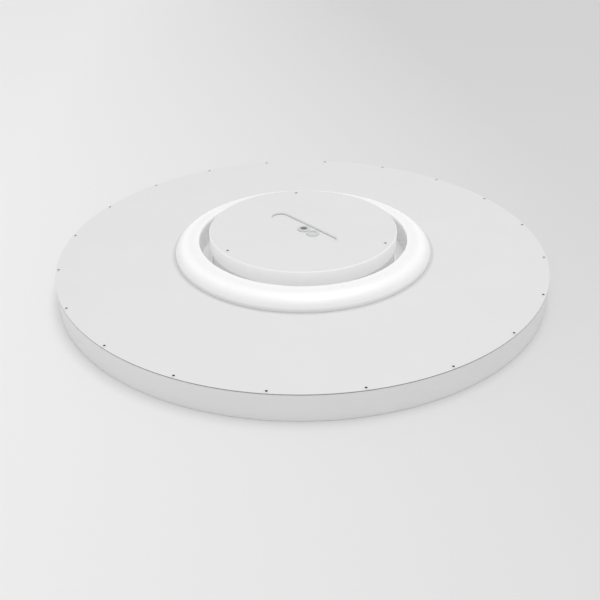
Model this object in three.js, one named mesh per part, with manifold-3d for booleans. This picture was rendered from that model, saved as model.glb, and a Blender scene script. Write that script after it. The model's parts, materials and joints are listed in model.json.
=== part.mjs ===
// A round LED ceiling luminaire, lying on its light side with the ceiling side up.
// Millimetres, +Z towards the ceiling. The origin is the middle of the surface that it lies on, and the
// long pocket of the ceiling cap runs along X.
import * as THREE from "three";
import { mergeVertices } from "three/addons/utils/BufferGeometryUtils.js";
import Module from "manifold-3d";

const wasm = await Module();
wasm.setup();

// ---- Driving sizes ----

const SEAT = 0.3; // clearance between pieces that lie against each other
const OUTER_R = 300;
const OUTER_SIDES = 60; // facets round the rim; every concentric outer piece shares them
const INNER_SIDES = 48; // facets round the halo, the drum and the cap

// Side ring: a bent band with a lip at the light side and a screw rib at the ceiling side.
const BAND_HEIGHT = 31;
const BAND_WALL = 1.6;
const LIP_WIDTH = 9;
const LIP_THICKNESS = 1.6;
const RIB_WIDTH = 7.5;
const RIB_HEIGHT = 9;
const LEDGE_WIDTH = 12;

// Back plate and its screws.
const PLATE_THICKNESS = 1;
const RIM_SCREWS = 20;
const RIM_SCREW_INSET = 3.3;
const RIM_SCREW_START = 5.86; // degrees from +X
const RIM_SCREW_DEPTH = 7;

// Screws: one size of small machine screw, with a pan head or a countersunk one.
const SHANK_R = 1.45;
const HEAD_R = 2.8;
const HEAD_HEIGHT = 1.6;
const HEAD_BEVEL = 0.7;
const SUNK_HEAD_R = 2.6;
const SUNK_HEAD_DEPTH = 1.1;
const SCREW_SIDES = 8;

// Front diffuser, its gasket and the edge reflector.
const DIFFUSER_THICKNESS = 2.5;
const GASKET_THICKNESS = 2;
const GASKET_WIDTH = 7.3;
const REFLECTOR_THICKNESS = 1;
const REFLECTOR_SLOPE = 6.5;

// Carrier pan and what it carries.
const PAN_THICKNESS = 1.2;
const TROUGH_DEPTH = 12.5; // from the back plate's top down to the pan
const BOARD_THICKNESS = 1.2;
const CHIP_SIZE = 3.5;
const CHIP_HEIGHT = 0.9;
const LED_BOARDS = 4;
const LED_BOARD_CLEAR = 13.3; // from the halo board's outer edge to the LED boards' inner edge
const LED_BOARD_MARGIN = 22; // from the pan's wall to the boards' outer edge
const LED_BOARD_GAP = 3; // degrees between neighbouring boards
const LED_CHIPS = 6;

// Ceiling cap.
const CAP_R = 116;
const CAP_RISE = 26.9; // from the back plate's top to the cap's top
const CAP_THICKNESS = 1.5;
const CAP_CHAMFER = 0.8;
const SKIRT_HEIGHT = 18.7;
const SKIRT_THICKNESS = 1.2;
const POCKET_LENGTH = 110;
const POCKET_WIDTH = 22;
const POCKET_DEPTH = 3;
const GROMMET_START = 1; // the first grommet's place along the pocket
const GROMMET_SPACE = 0.6; // between the two flanges
const GROMMET_HOLE_R = 6.2;
const GROMMET_FLANGE_R = 8;
const GROMMET_FLANGE = 1.7;
const GROMMET_BORE_R = 4.5;
const GROMMET_SIDES = 12;

// Cap screws and the catches that they hold.
const LOCKS = 3;
const LOCK_START = 23.6; // degrees from +X
const LOCK_INSET = 8; // from the cap's edge to the screws
const LOCK_TURN = 14; // degrees from locked to free
const CATCH_WIDTH = 9;
const CATCH_DEPTH = 7;
const CATCH_HEIGHT = 7.2;
const TONGUE_WIDTH = 7;
const TONGUE_THICKNESS = 3;
const TONGUE_REACH = 1.3; // past the drum's outer face
const SLOT_ROOM = 0.7; // round the tongue, in the drum's slot

// Drum under the cap.
const DRUM_INSET = 3; // from the cap's edge to the drum's outer face
const DRUM_WALL = 1;
const DRUM_FOOT = 9;

// Halo: the light ring round the cap.
const GAP_WIDTH = 13; // from the cap's edge to the halo's inner edge
const HALO_WIDTH = 30;
const HALO_RISE = 16.9; // above the back plate
const HALO_WALL = 2;
const HALO_LIP = 3.8;
const HALO_EDGE = 1.2; // rounding at the inner edge
const COLLAR_WALL = 1;
const COLLAR_INSET = 0.7; // from the halo's inner edge back to the collar's face
const HALO_HOLE_INSET = 8; // from the halo's outer edge to the back plate's hole
const HALO_BOARD_WIDTH = 14;
const HALO_BOARD_CLEAR = 2; // from the collar to the board
const HALO_CHIPS = 12;
const HALO_REFLECTOR_WALL = 1;
const HALO_REFLECTOR_FLANGE = 6;

// Driver, terminal block, cable clamp and earth stud inside the drum.
const DRIVER = { length: 130, width: 44, height: 20, y: -45, wall: 1.5, notch: 16 };
const TERMINAL = { length: 40, width: 22, height: 16, y: 40, pitch: 12 };
const BUTTON = { size: 6, proud: 2.2, depth: 5, well: 8, offset: -4 };
const ENTRY_R = 2.2;
const ENTRY_DEPTH = 7;
const ENTRY_HEIGHT = 6;
const CLAMP = { length: 36, width: 9, height: 9, bar: 2.6, foot: 8, y: 14 };
const CLAMP_SCREW_DEPTH = 9;
const EARTH_AT = [52, 34];
const EARTH_STUD = { washerR: 5, washer: 1, nutR: 4.2, nut: 3.2, studR: 2, stud: 12 };
const WIRE_R = 1.2;
const WIRE_SIDES = 6;
const WIRE_HOLE_AT = [Math.min(DRIVER.length / 2 + 19, CAP_R - 24), -34]; // between the driver and the drum
const WIRE_HOLE_R = 5;
const LEAD_LANE = 1.8; // each lead's place off the wire hole's middle
const HALO_LEAD_ROOM = 1; // round the halo's lead in the pan
const HALO_LEAD_ANGLE = -30; // degrees from +X, where that lead meets the halo board

// ---- Heights and radii that follow ----

const PLATE_BOTTOM = BAND_HEIGHT + SEAT;
const PLATE_TOP = PLATE_BOTTOM + PLATE_THICKNESS;
const PAN_TOP = PLATE_TOP - TROUGH_DEPTH;
const PAN_BOTTOM = PAN_TOP - PAN_THICKNESS;
const PAN_R = OUTER_R - LEDGE_WIDTH - SEAT;
const DIFFUSER_BOTTOM = LIP_THICKNESS + SEAT;
const DIFFUSER_TOP = DIFFUSER_BOTTOM + DIFFUSER_THICKNESS;
const DIFFUSER_R = OUTER_R - BAND_WALL - 2 * SEAT;
const GASKET_BOTTOM = DIFFUSER_TOP + SEAT;
const GASKET_TOP = GASKET_BOTTOM + GASKET_THICKNESS;
const BOARD_TOP = PAN_BOTTOM - SEAT;
const BOARD_BOTTOM = BOARD_TOP - BOARD_THICKNESS;
const CAP_TOP = PLATE_TOP + CAP_RISE;
const CAP_BOTTOM = CAP_TOP - CAP_THICKNESS;
const POCKET_FLOOR = CAP_TOP - POCKET_DEPTH;
const DRUM_R = CAP_R - DRUM_INSET;
const DRUM_TOP = CAP_BOTTOM - SEAT;
const ON_PAN = PAN_TOP + SEAT; // where a piece that stands on the pan begins
const LOCK_R = CAP_R - LOCK_INSET;
const CATCH_OUT = DRUM_R - DRUM_WALL - SEAT;
const CATCH_TOP = CAP_BOTTOM - SEAT;
const CATCH_BOTTOM = CATCH_TOP - CATCH_HEIGHT;
const HALO_IN = CAP_R + GAP_WIDTH;
const HALO_OUT = HALO_IN + HALO_WIDTH;
const HALO_BOTTOM = PLATE_TOP + SEAT;
const HALO_TOP = PLATE_TOP + HALO_RISE;
const HALO_HOLE_R = HALO_OUT - HALO_HOLE_INSET;
const COLLAR_R = HALO_IN + COLLAR_INSET;
const HALO_BOARD_IN = COLLAR_R + COLLAR_WALL + HALO_BOARD_CLEAR;
const LED_BOARD_IN = HALO_BOARD_IN + HALO_BOARD_WIDTH + LED_BOARD_CLEAR;
const GROMMETS_X = [GROMMET_START, GROMMET_START + 2 * GROMMET_FLANGE_R + GROMMET_SPACE];
const SCREW_HOLE_R = SHANK_R + SEAT;
const CUT = 1; // how far a cutting shape stands past the face that it cuts

// ---- Shape helpers ----

const radians = THREE.MathUtils.degToRad;

// Points along an arc between two angles in degrees, round a middle on the X axis.
function arcPoints(radius, from, to, steps, middle = 0) {
  return Array.from({ length: steps + 1 }, (_, k) => {
    const angle = radians(from + ((to - from) * k) / steps);
    return new THREE.Vector2(middle + radius * Math.cos(angle), radius * Math.sin(angle));
  });
}

// A solid of revolution about Z from an outline of [radius, height] points that closes or ends on the axis.
function turned(outline, sides) {
  const points = outline.map(([r, z]) => new THREE.Vector2(r, z));
  if (THREE.ShapeUtils.area(points) < 0) points.reverse();
  const onAxis = points.filter((p) => p.x === 0).length > 1;
  if (!onAxis) points.push(points[0].clone());
  return new THREE.LatheGeometry(points, sides).rotateX(Math.PI / 2);
}

// An outline of points pushed up from one height to another.
function raised(points, bottom, top) {
  const options = { depth: top - bottom, bevelEnabled: false };
  return new THREE.ExtrudeGeometry(new THREE.Shape(points), options).translate(0, 0, bottom);
}

function block(x0, x1, y0, y1, z0, z1) {
  const geometry = new THREE.BoxGeometry(x1 - x0, y1 - y0, z1 - z0);
  return geometry.translate((x0 + x1) / 2, (y0 + y1) / 2, (z0 + z1) / 2);
}

function post(radius, x, y, z0, z1, sides) {
  const geometry = new THREE.CylinderGeometry(radius, radius, z1 - z0, sides).rotateX(Math.PI / 2);
  return geometry.translate(x, y, (z0 + z1) / 2);
}

// Part of a flat ring between two angles in degrees.
function ringPart(inner, outer, from, to, steps) {
  return [...arcPoints(outer, from, to, steps), ...arcPoints(inner, to, from, steps)];
}

function stadium(length, width) {
  const reach = (length - width) / 2;
  const steps = INNER_SIDES / 4;
  const right = arcPoints(width / 2, -90, 90, steps, reach);
  return [...right, ...arcPoints(width / 2, 90, 270, steps, -reach)];
}

// ---- Joining and cutting ----

function solid(geometry) {
  const bare = geometry.index ? geometry.toNonIndexed() : geometry.clone();
  bare.deleteAttribute("normal");
  bare.deleteAttribute("uv");
  const merged = mergeVertices(bare, 1e-4);
  return new wasm.Manifold(
    new wasm.Mesh({
      numProp: 3,
      vertProperties: new Float32Array(merged.attributes.position.array),
      triVerts: new Uint32Array(merged.index.array),
    }),
  );
}

function surface(body) {
  const mesh = body.getMesh();
  const geometry = new THREE.BufferGeometry();
  geometry.setAttribute("position", new THREE.BufferAttribute(new Float32Array(mesh.vertProperties), 3));
  geometry.setIndex(new THREE.BufferAttribute(new Uint32Array(mesh.triVerts), 1));
  geometry.computeVertexNormals();
  return geometry;
}

function joined(first, ...rest) {
  return surface(rest.reduce((body, piece) => body.add(solid(piece)), solid(first)));
}

function cut(base, ...tools) {
  return surface(tools.reduce((body, tool) => body.subtract(solid(tool)), solid(base)));
}

// ---- The assembly ----

const luminaire = new THREE.Group();

const FINISHES = {
  white_paint: { color: 0xe4e6e7, roughness: 0.55, metalness: 0 },
  opal: { color: 0xf6f7f8, roughness: 0.45, metalness: 0 },
  white_plastic: { color: 0xe9ebec, roughness: 0.5, metalness: 0 },
  zinc: { color: 0xa9abad, roughness: 0.35, metalness: 0.9 },
  grey_rubber: { color: 0xcfd1d2, roughness: 0.8, metalness: 0 },
  foam: { color: 0x5a5c5e, roughness: 0.95, metalness: 0 },
  board: { color: 0xf1f2ee, roughness: 0.4, metalness: 0 },
  green_board: { color: 0x2f5d43, roughness: 0.45, metalness: 0 },
  brown_wire: { color: 0x6b4630, roughness: 0.5, metalness: 0 },
  blue_wire: { color: 0x2f62a8, roughness: 0.5, metalness: 0 },
  green_wire: { color: 0x8fae3a, roughness: 0.5, metalness: 0 },
  white_wire: { color: 0xdedfdf, roughness: 0.5, metalness: 0 },
  orange_plastic: { color: 0xd9782b, roughness: 0.5, metalness: 0 },
};

function place(name, geometry, finish, parent = luminaire) {
  const mesh = new THREE.Mesh(geometry, new THREE.MeshStandardMaterial(FINISHES[finish]));
  mesh.name = name;
  parent.add(mesh);
  return mesh;
}

// A pan-head screw, head up, with the underside of its head at z = 0.
function panScrew(depth) {
  const outline = [
    [0, -depth],
    [SHANK_R, -depth],
    [SHANK_R, 0],
    [HEAD_R, 0],
    [HEAD_R - HEAD_BEVEL, HEAD_HEIGHT],
    [0, HEAD_HEIGHT],
  ];
  return turned(outline, SCREW_SIDES);
}

// A countersunk screw, head up, with the top of its head at z = 0.
function sunkScrew(depth) {
  const outline = [
    [0, -depth],
    [SHANK_R, -depth],
    [SHANK_R, -SUNK_HEAD_DEPTH],
    [SUNK_HEAD_R, 0],
    [0, 0],
  ];
  return turned(outline, SCREW_SIDES);
}

// The conical hole that a countersunk head sits in, with its mouth at a height.
function sunkHole(x, y, z) {
  const top = SUNK_HEAD_R + SEAT;
  const cone = new THREE.CylinderGeometry(top, SCREW_HOLE_R, SUNK_HEAD_DEPTH, SCREW_SIDES);
  return cone.rotateX(Math.PI / 2).translate(x, y, z - SUNK_HEAD_DEPTH / 2);
}

function placeScrew(name, geometry, finish, x, y, z) {
  place(name, geometry, finish).position.set(x, y, z);
}

// Angles and places of a ring of things.
function around(count, radius, start) {
  return Array.from({ length: count }, (_, k) => {
    const angle = start + (360 * k) / count;
    return { angle, x: radius * Math.cos(radians(angle)), y: radius * Math.sin(radians(angle)) };
  });
}

const rimScrews = around(RIM_SCREWS, OUTER_R - RIM_SCREW_INSET, RIM_SCREW_START);
const locks = around(LOCKS, LOCK_R, LOCK_START);

function rimHoles(bottom, top) {
  return rimScrews.map(({ x, y }) => post(SCREW_HOLE_R, x, y, bottom, top, SCREW_SIDES));
}

function sideRing() {
  const ledge = BAND_HEIGHT - PAN_THICKNESS - SEAT;
  const ring = turned(
    [
      [OUTER_R - LIP_WIDTH, 0],
      [OUTER_R, 0],
      [OUTER_R, BAND_HEIGHT],
      [OUTER_R - RIB_WIDTH, BAND_HEIGHT],
      [OUTER_R - RIB_WIDTH, ledge],
      [OUTER_R - LEDGE_WIDTH, ledge],
      [OUTER_R - LEDGE_WIDTH, BAND_HEIGHT - RIB_HEIGHT],
      [OUTER_R - BAND_WALL, BAND_HEIGHT - RIB_HEIGHT],
      [OUTER_R - BAND_WALL, LIP_THICKNESS],
      [OUTER_R - LIP_WIDTH, LIP_THICKNESS],
    ],
    OUTER_SIDES,
  );
  const bottom = PLATE_TOP - RIM_SCREW_DEPTH;
  return cut(ring, ...rimHoles(bottom, BAND_HEIGHT + CUT));
}

function backPlate() {
  const disc = post(OUTER_R, 0, 0, PLATE_BOTTOM, PLATE_TOP, OUTER_SIDES);
  const [under, over] = [PLATE_BOTTOM - CUT, PLATE_TOP + CUT];
  const middle = post(HALO_HOLE_R, 0, 0, under, over, INNER_SIDES);
  return cut(disc, middle, ...rimHoles(under, over));
}

function edgeReflector() {
  const inner = DIFFUSER_R - GASKET_WIDTH;
  const bottom = GASKET_TOP + SEAT;
  const top = PAN_BOTTOM - SEAT;
  return turned(
    [
      [inner, bottom],
      [DIFFUSER_R, bottom],
      [DIFFUSER_R, bottom + REFLECTOR_THICKNESS],
      [inner + REFLECTOR_THICKNESS, bottom + REFLECTOR_THICKNESS],
      [inner + REFLECTOR_THICKNESS - REFLECTOR_SLOPE, top],
      [inner - REFLECTOR_SLOPE, top],
    ],
    OUTER_SIDES,
  );
}

function carrierPan() {
  const pan = turned(
    [
      [0, PAN_BOTTOM],
      [PAN_R, PAN_BOTTOM],
      [PAN_R, BAND_HEIGHT - PAN_THICKNESS],
      [OUTER_R - RIB_WIDTH - SEAT, BAND_HEIGHT - PAN_THICKNESS],
      [OUTER_R - RIB_WIDTH - SEAT, BAND_HEIGHT],
      [PAN_R - PAN_THICKNESS, BAND_HEIGHT],
      [PAN_R - PAN_THICKNESS, PAN_TOP],
      [0, PAN_TOP],
    ],
    OUTER_SIDES,
  );
  const through = (radius, x, y) => post(radius, x, y, PAN_BOTTOM - CUT, PAN_TOP + CUT, SCREW_SIDES);
  const wireHole = through(WIRE_HOLE_R, ...WIRE_HOLE_AT);
  const haloHole = through(WIRE_R + HALO_LEAD_ROOM, ...haloWireEnd());
  const clampHoles = clampScrewPlaces().map(([x, y]) => through(SCREW_HOLE_R, x, y));
  return cut(pan, wireHole, haloHole, ...clampHoles);
}

// A quarter of the downlight: a board with its light chips on the underside.
function ledBoard(index) {
  const pitch = 360 / LED_BOARDS;
  const from = index * pitch + LED_BOARD_GAP / 2;
  const outer = PAN_R - PAN_THICKNESS - LED_BOARD_MARGIN;
  const steps = OUTER_SIDES / LED_BOARDS - 1;
  const outline = ringPart(LED_BOARD_IN, outer, from, from + pitch - LED_BOARD_GAP, steps);
  const board = raised(outline, BOARD_BOTTOM, BOARD_TOP);
  const chips = around(LED_CHIPS * LED_BOARDS, (LED_BOARD_IN + outer) / 2, pitch / LED_CHIPS / 2)
    .slice(index * LED_CHIPS, (index + 1) * LED_CHIPS)
    .map(({ x, y }) => chipAt(x, y, BOARD_BOTTOM - CHIP_HEIGHT, BOARD_BOTTOM + BOARD_THICKNESS / 2));
  return joined(board, ...chips);
}

function chipAt(x, y, z0, z1) {
  const half = CHIP_SIZE / 2;
  return block(x - half, x + half, y - half, y + half, z0, z1);
}

function haloBoard() {
  const outer = HALO_BOARD_IN + HALO_BOARD_WIDTH;
  const top = ON_PAN + BOARD_THICKNESS;
  const ring = turned(
    [
      [HALO_BOARD_IN, ON_PAN],
      [outer, ON_PAN],
      [outer, top],
      [HALO_BOARD_IN, top],
    ],
    INNER_SIDES,
  );
  const chips = around(HALO_CHIPS, (HALO_BOARD_IN + outer) / 2, 0).map(({ x, y }) =>
    chipAt(x, y, top - BOARD_THICKNESS / 2, top + CHIP_HEIGHT),
  );
  return joined(ring, ...chips);
}

// The opal ring: a quarter of an ellipse outside, the same shape inset by the wall inside, and a short lip.
function haloRing() {
  const steps = 6;
  const quarter = (across, up, share) => {
    const angle = (share * Math.PI) / 2;
    return [HALO_IN + across * Math.sin(angle), HALO_BOTTOM + up * Math.cos(angle)];
  };
  const rise = HALO_TOP - HALO_BOTTOM;
  const first = Math.asin(HALO_EDGE / HALO_WIDTH) / (Math.PI / 2);
  const share = (k) => first + ((1 - first) * k) / steps;
  const outside = Array.from({ length: steps + 1 }, (_, k) => quarter(HALO_WIDTH, rise, share(k)));
  const underside = Array.from({ length: steps }, (_, k) =>
    quarter(HALO_WIDTH - HALO_WALL, rise - HALO_WALL, 1 - ((1 - 3 * first) * k) / (steps - 1)),
  );
  const lipBottom = HALO_TOP - HALO_LIP;
  return turned(
    [
      [HALO_IN, lipBottom],
      [HALO_IN, HALO_TOP - HALO_EDGE],
      ...outside,
      ...underside,
      [HALO_IN + HALO_WALL, lipBottom],
    ],
    INNER_SIDES,
  );
}

function haloReflector() {
  const inner = HALO_HOLE_R + SEAT;
  const wall = inner + HALO_REFLECTOR_WALL;
  const flange = inner + HALO_REFLECTOR_FLANGE;
  const top = PLATE_BOTTOM - SEAT;
  return turned(
    [
      [inner, ON_PAN],
      [wall, ON_PAN],
      [wall, top - HALO_REFLECTOR_WALL],
      [flange, top - HALO_REFLECTOR_WALL],
      [flange, top],
      [inner, top],
    ],
    INNER_SIDES,
  );
}

function haloCollar() {
  const top = HALO_TOP - HALO_LIP - SEAT;
  return turned(
    [
      [COLLAR_R, ON_PAN],
      [COLLAR_R + COLLAR_WALL, ON_PAN],
      [COLLAR_R + COLLAR_WALL, top],
      [COLLAR_R, top],
    ],
    INNER_SIDES,
  );
}

// Half the angle in degrees that a width takes at a radius.
const halfAngle = (width, radius) => THREE.MathUtils.radToDeg(width / 2 / radius);

// The drum, with one hooked slot for each catch: in at the top, then along to the locked end.
function drum() {
  const shell = turned(
    [
      [DRUM_R - DRUM_FOOT, ON_PAN],
      [DRUM_R, ON_PAN],
      [DRUM_R, DRUM_TOP],
      [DRUM_R - DRUM_WALL, DRUM_TOP],
      [DRUM_R - DRUM_WALL, ON_PAN + DRUM_WALL],
      [DRUM_R - DRUM_FOOT, ON_PAN + DRUM_WALL],
    ],
    INNER_SIDES,
  );
  const room = halfAngle(TONGUE_WIDTH + 2 * SLOT_ROOM, DRUM_R);
  const inner = DRUM_R - DRUM_WALL - CUT;
  const outer = DRUM_R + CUT;
  const slotBottom = CATCH_BOTTOM - SLOT_ROOM;
  const slotTop = CATCH_BOTTOM + TONGUE_THICKNESS + SLOT_ROOM;
  const slots = locks.flatMap(({ angle }) => {
    const free = angle + LOCK_TURN;
    const along = ringPart(inner, outer, angle - room, free + room, 5);
    const mouth = ringPart(inner, outer, free - room, free + room, 2);
    return [raised(along, slotBottom, slotTop), raised(mouth, CATCH_BOTTOM, DRUM_TOP + CUT)];
  });
  return cut(shell, ...slots);
}

// The catch: a block under the cap, tapped for its screw, with a tongue out through the drum's slot.
function catchShape() {
  const half = halfAngle(CATCH_WIDTH, LOCK_R);
  const tongue = halfAngle(TONGUE_WIDTH, DRUM_R);
  const outline = ringPart(CATCH_OUT - CATCH_DEPTH, CATCH_OUT, -half, half, 2);
  const body = raised(outline, CATCH_BOTTOM, CATCH_TOP);
  const reach = ringPart(CATCH_OUT - 2, DRUM_R + TONGUE_REACH, -tongue, tongue, 2);
  const finger = raised(reach, CATCH_BOTTOM, CATCH_BOTTOM + TONGUE_THICKNESS);
  const bore = post(SCREW_HOLE_R, LOCK_R, 0, CATCH_BOTTOM - CUT, CATCH_TOP + CUT, SCREW_SIDES);
  return cut(joined(body, finger), bore);
}

function ceilingCap() {
  const shell = turned(
    [
      [0, CAP_BOTTOM],
      [CAP_R - SKIRT_THICKNESS, CAP_BOTTOM],
      [CAP_R - SKIRT_THICKNESS, CAP_TOP - SKIRT_HEIGHT],
      [CAP_R, CAP_TOP - SKIRT_HEIGHT],
      [CAP_R, CAP_TOP - CAP_CHAMFER],
      [CAP_R - CAP_CHAMFER, CAP_TOP],
      [0, CAP_TOP],
    ],
    INNER_SIDES,
  );
  const tubShape = stadium(POCKET_LENGTH + 2 * CAP_THICKNESS, POCKET_WIDTH + 2 * CAP_THICKNESS);
  const tub = raised(tubShape, POCKET_FLOOR - CAP_THICKNESS, CAP_BOTTOM + 0.1);
  const pocket = raised(stadium(POCKET_LENGTH, POCKET_WIDTH), POCKET_FLOOR, CAP_TOP + CUT);
  const low = POCKET_FLOOR - CAP_THICKNESS - CUT;
  const cableHoles = GROMMETS_X.map((x) => post(GROMMET_HOLE_R, x, 0, low, CAP_TOP, GROMMET_SIDES));
  const screwHoles = locks.flatMap(({ x, y }) => [
    post(SCREW_HOLE_R, x, y, low, CAP_TOP - SUNK_HEAD_DEPTH + 0.01, SCREW_SIDES),
    sunkHole(x, y, CAP_TOP),
  ]);
  return cut(joined(shell, tub), pocket, ...cableHoles, ...screwHoles);
}

function grommetShape() {
  const neck = GROMMET_HOLE_R - SEAT;
  const over = POCKET_FLOOR + SEAT;
  const under = POCKET_FLOOR - CAP_THICKNESS - SEAT;
  const soft = 0.5; // rounding of the flanges' edges
  return turned(
    [
      [GROMMET_BORE_R, under - GROMMET_FLANGE],
      [GROMMET_FLANGE_R - soft, under - GROMMET_FLANGE],
      [GROMMET_FLANGE_R - soft, under],
      [neck, under],
      [neck, over],
      [GROMMET_FLANGE_R, over],
      [GROMMET_FLANGE_R, over + GROMMET_FLANGE - soft],
      [GROMMET_FLANGE_R - soft, over + GROMMET_FLANGE],
      [GROMMET_BORE_R, over + GROMMET_FLANGE],
    ],
    GROMMET_SIDES,
  );
}

// ---- Inside the drum ----

const driverHalf = DRIVER.length / 2;
const driverFront = DRIVER.y - DRIVER.width / 2;
const driverBack = DRIVER.y + DRIVER.width / 2;

function driverCase() {
  const top = ON_PAN + DRIVER.height;
  const w = DRIVER.wall;
  const outer = block(-driverHalf, driverHalf, driverFront, driverBack, ON_PAN, top);
  const [front, back] = [driverFront + w, driverBack - w];
  const inner = block(-driverHalf + w, driverHalf - w, front, back, ON_PAN + w, top + CUT);
  const notches = [-driverHalf, driverHalf].map((x) => {
    const half = DRIVER.notch / 2;
    return block(x - 2 * w, x + 2 * w, DRIVER.y - half, DRIVER.y + half, ON_PAN + 4, top + CUT);
  });
  return cut(outer, inner, ...notches);
}

// The driver's circuit board with its transformer, two capacitors and a heat sink bar.
function driverBoard() {
  const inset = DRIVER.wall + 1.2;
  const bottom = ON_PAN + DRIVER.wall + 1.5;
  const top = bottom + 1.6;
  const parts = DRIVER.height - DRIVER.wall - 5;
  const half = driverHalf - inset - 8;
  const board = block(-half, half, driverFront + inset, driverBack - inset, bottom, top);
  const middle = DRIVER.y;
  const transformer = block(-12, 12, middle - 12, middle + 12, top - 0.5, top + parts - 2);
  const bigCapacitor = post(6, -36, middle + 4, top - 0.5, top + parts - 3, 10);
  const smallCapacitor = post(4, 34, middle - 6, top - 0.5, top + parts - 4, 8);
  const heatSink = block(22, 46, middle + 10, middle + 13, top - 0.5, top + parts - 4);
  return joined(board, transformer, bigCapacitor, smallCapacitor, heatSink);
}

function driverLid() {
  const bottom = ON_PAN + DRIVER.height + SEAT;
  const plate = block(-driverHalf, driverHalf, driverFront, driverBack, bottom, bottom + DRIVER.wall);
  const w = DRIVER.wall + SEAT;
  const [front, back] = [driverFront + w, driverBack - w];
  const plug = block(-driverHalf + w, driverHalf - w, front, back, bottom - 1, bottom + 0.5);
  return joined(plate, plug);
}

const terminalTop = ON_PAN + TERMINAL.height;
const poles = [-TERMINAL.pitch, 0, TERMINAL.pitch];
const buttonY = TERMINAL.y + BUTTON.offset;

function terminalBlock() {
  const half = TERMINAL.length / 2;
  const front = TERMINAL.y - TERMINAL.width / 2;
  const back = TERMINAL.y + TERMINAL.width / 2;
  const room = BUTTON.size / 2 + SEAT;
  const wellBottom = terminalTop - BUTTON.well;
  const body = block(-half, half, front, back, ON_PAN, terminalTop);
  const entry = (x, y) => {
    const hole = new THREE.CylinderGeometry(ENTRY_R, ENTRY_R, 2 * ENTRY_DEPTH, SCREW_SIDES);
    return hole.translate(x, y, ON_PAN + ENTRY_HEIGHT);
  };
  const cuts = poles.flatMap((x) => [
    block(x - room, x + room, buttonY - room, buttonY + room, wellBottom, terminalTop + CUT),
    entry(x, front),
    entry(x, back),
  ]);
  return cut(body, ...cuts);
}

function terminalButton(x) {
  const half = BUTTON.size / 2;
  const inner = half - 1;
  const [low, top] = [terminalTop - BUTTON.depth, terminalTop + BUTTON.proud];
  const stem = block(x - half, x + half, buttonY - half, buttonY + half, low, top);
  const slot = block(x - inner, x + inner, buttonY - 0.6, buttonY + 0.6, top - 0.6, top + CUT);
  return cut(stem, slot);
}

function clampScrewPlaces() {
  const x = (CLAMP.length - CLAMP.foot) / 2;
  return [
    [-x, CLAMP.y],
    [x, CLAMP.y],
  ];
}

// The clamp's bridge: a bar on two feet, with a shallow ridge that bites into the cable's sheath.
function cableClamp() {
  const half = CLAMP.length / 2;
  const front = CLAMP.y - CLAMP.width / 2;
  const back = CLAMP.y + CLAMP.width / 2;
  const top = ON_PAN + CLAMP.height;
  const bar = block(-half, half, front, back, top - CLAMP.bar, top);
  const foot = (x) => block(x, x + CLAMP.foot, front, back, ON_PAN, top - 0.5);
  const reach = half - CLAMP.foot - 2;
  const ridge = block(-reach, reach, CLAMP.y - 1, CLAMP.y + 1, top - CLAMP.bar - 0.8, top - 1);
  const hole = ([x, y]) => post(SCREW_HOLE_R, x, y, ON_PAN - CUT, top + CUT, SCREW_SIDES);
  const bridge = joined(bar, foot(-half), foot(half - CLAMP.foot), ridge);
  return cut(bridge, ...clampScrewPlaces().map(hole));
}

function earthStud() {
  const [x, y] = EARTH_AT;
  const e = EARTH_STUD;
  const nutBottom = ON_PAN + e.washer;
  const washer = post(e.washerR, x, y, ON_PAN, nutBottom + 0.1, GROMMET_SIDES);
  const nut = post(e.nutR, x, y, nutBottom, nutBottom + e.nut, 6);
  const stud = post(e.studR, x, y, nutBottom, ON_PAN + e.stud, SCREW_SIDES);
  return joined(washer, nut, stud);
}

// A round wire along a smooth curve through points chosen by hand.
function wire(points, steps) {
  const route = points.map((p) => new THREE.Vector3(...p));
  const curve = new THREE.CatmullRomCurve3(route, false, "centripetal");
  const section = new THREE.Shape(arcPoints(WIRE_R, 0, 360, WIRE_SIDES).slice(1));
  return new THREE.ExtrudeGeometry(section, { steps, extrudePath: curve });
}

function haloWireEnd() {
  const radius = HALO_BOARD_IN + HALO_BOARD_WIDTH / 2;
  const angle = radians(HALO_LEAD_ANGLE);
  return [radius * Math.cos(angle), radius * Math.sin(angle)];
}

const wireLevel = ON_PAN + ENTRY_HEIGHT;
const terminalBack = TERMINAL.y + TERMINAL.width / 2 + SEAT;

// A supply wire from the terminal block's back, round the drum's left side, into the driver's left end.
function supplyWire(pole, lane) {
  const driverY = DRIVER.y + 4 - lane;
  const out = driverHalf + 11 + lane;
  return wire(
    [
      [pole, terminalBack, wireLevel],
      [pole, terminalBack + 5, wireLevel],
      [pole - 8, terminalBack + 9 + lane, wireLevel],
      [-out + 24, 54 + lane / 2, wireLevel],
      [-out - 2, 20, wireLevel],
      [-out - 6, -20, wireLevel],
      [-out, driverY + 4, wireLevel],
      [-driverHalf - 5, driverY, wireLevel + 1],
      [-driverHalf + 5, driverY, wireLevel + 1],
    ],
    26,
  );
}

function earthWire() {
  const [x, y] = EARTH_AT;
  const nutTop = ON_PAN + EARTH_STUD.washer + EARTH_STUD.nut;
  return wire(
    [
      [TERMINAL.pitch, terminalBack, wireLevel],
      [TERMINAL.pitch, terminalBack + 6, wireLevel],
      [TERMINAL.pitch + 14, terminalBack + 8, wireLevel],
      [x - 8, y + 10, nutTop + WIRE_R + 1],
      [x - EARTH_STUD.studR - WIRE_R - SEAT, y + 2, nutTop + WIRE_R + SEAT],
      [x - EARTH_STUD.studR - WIRE_R - SEAT, y - 4, nutTop + WIRE_R + SEAT],
    ],
    20,
  );
}

// Both output leads leave the driver's right end and go down through the pan's wire hole.
const underPan = PAN_BOTTOM - WIRE_R - 2 * SEAT;

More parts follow.
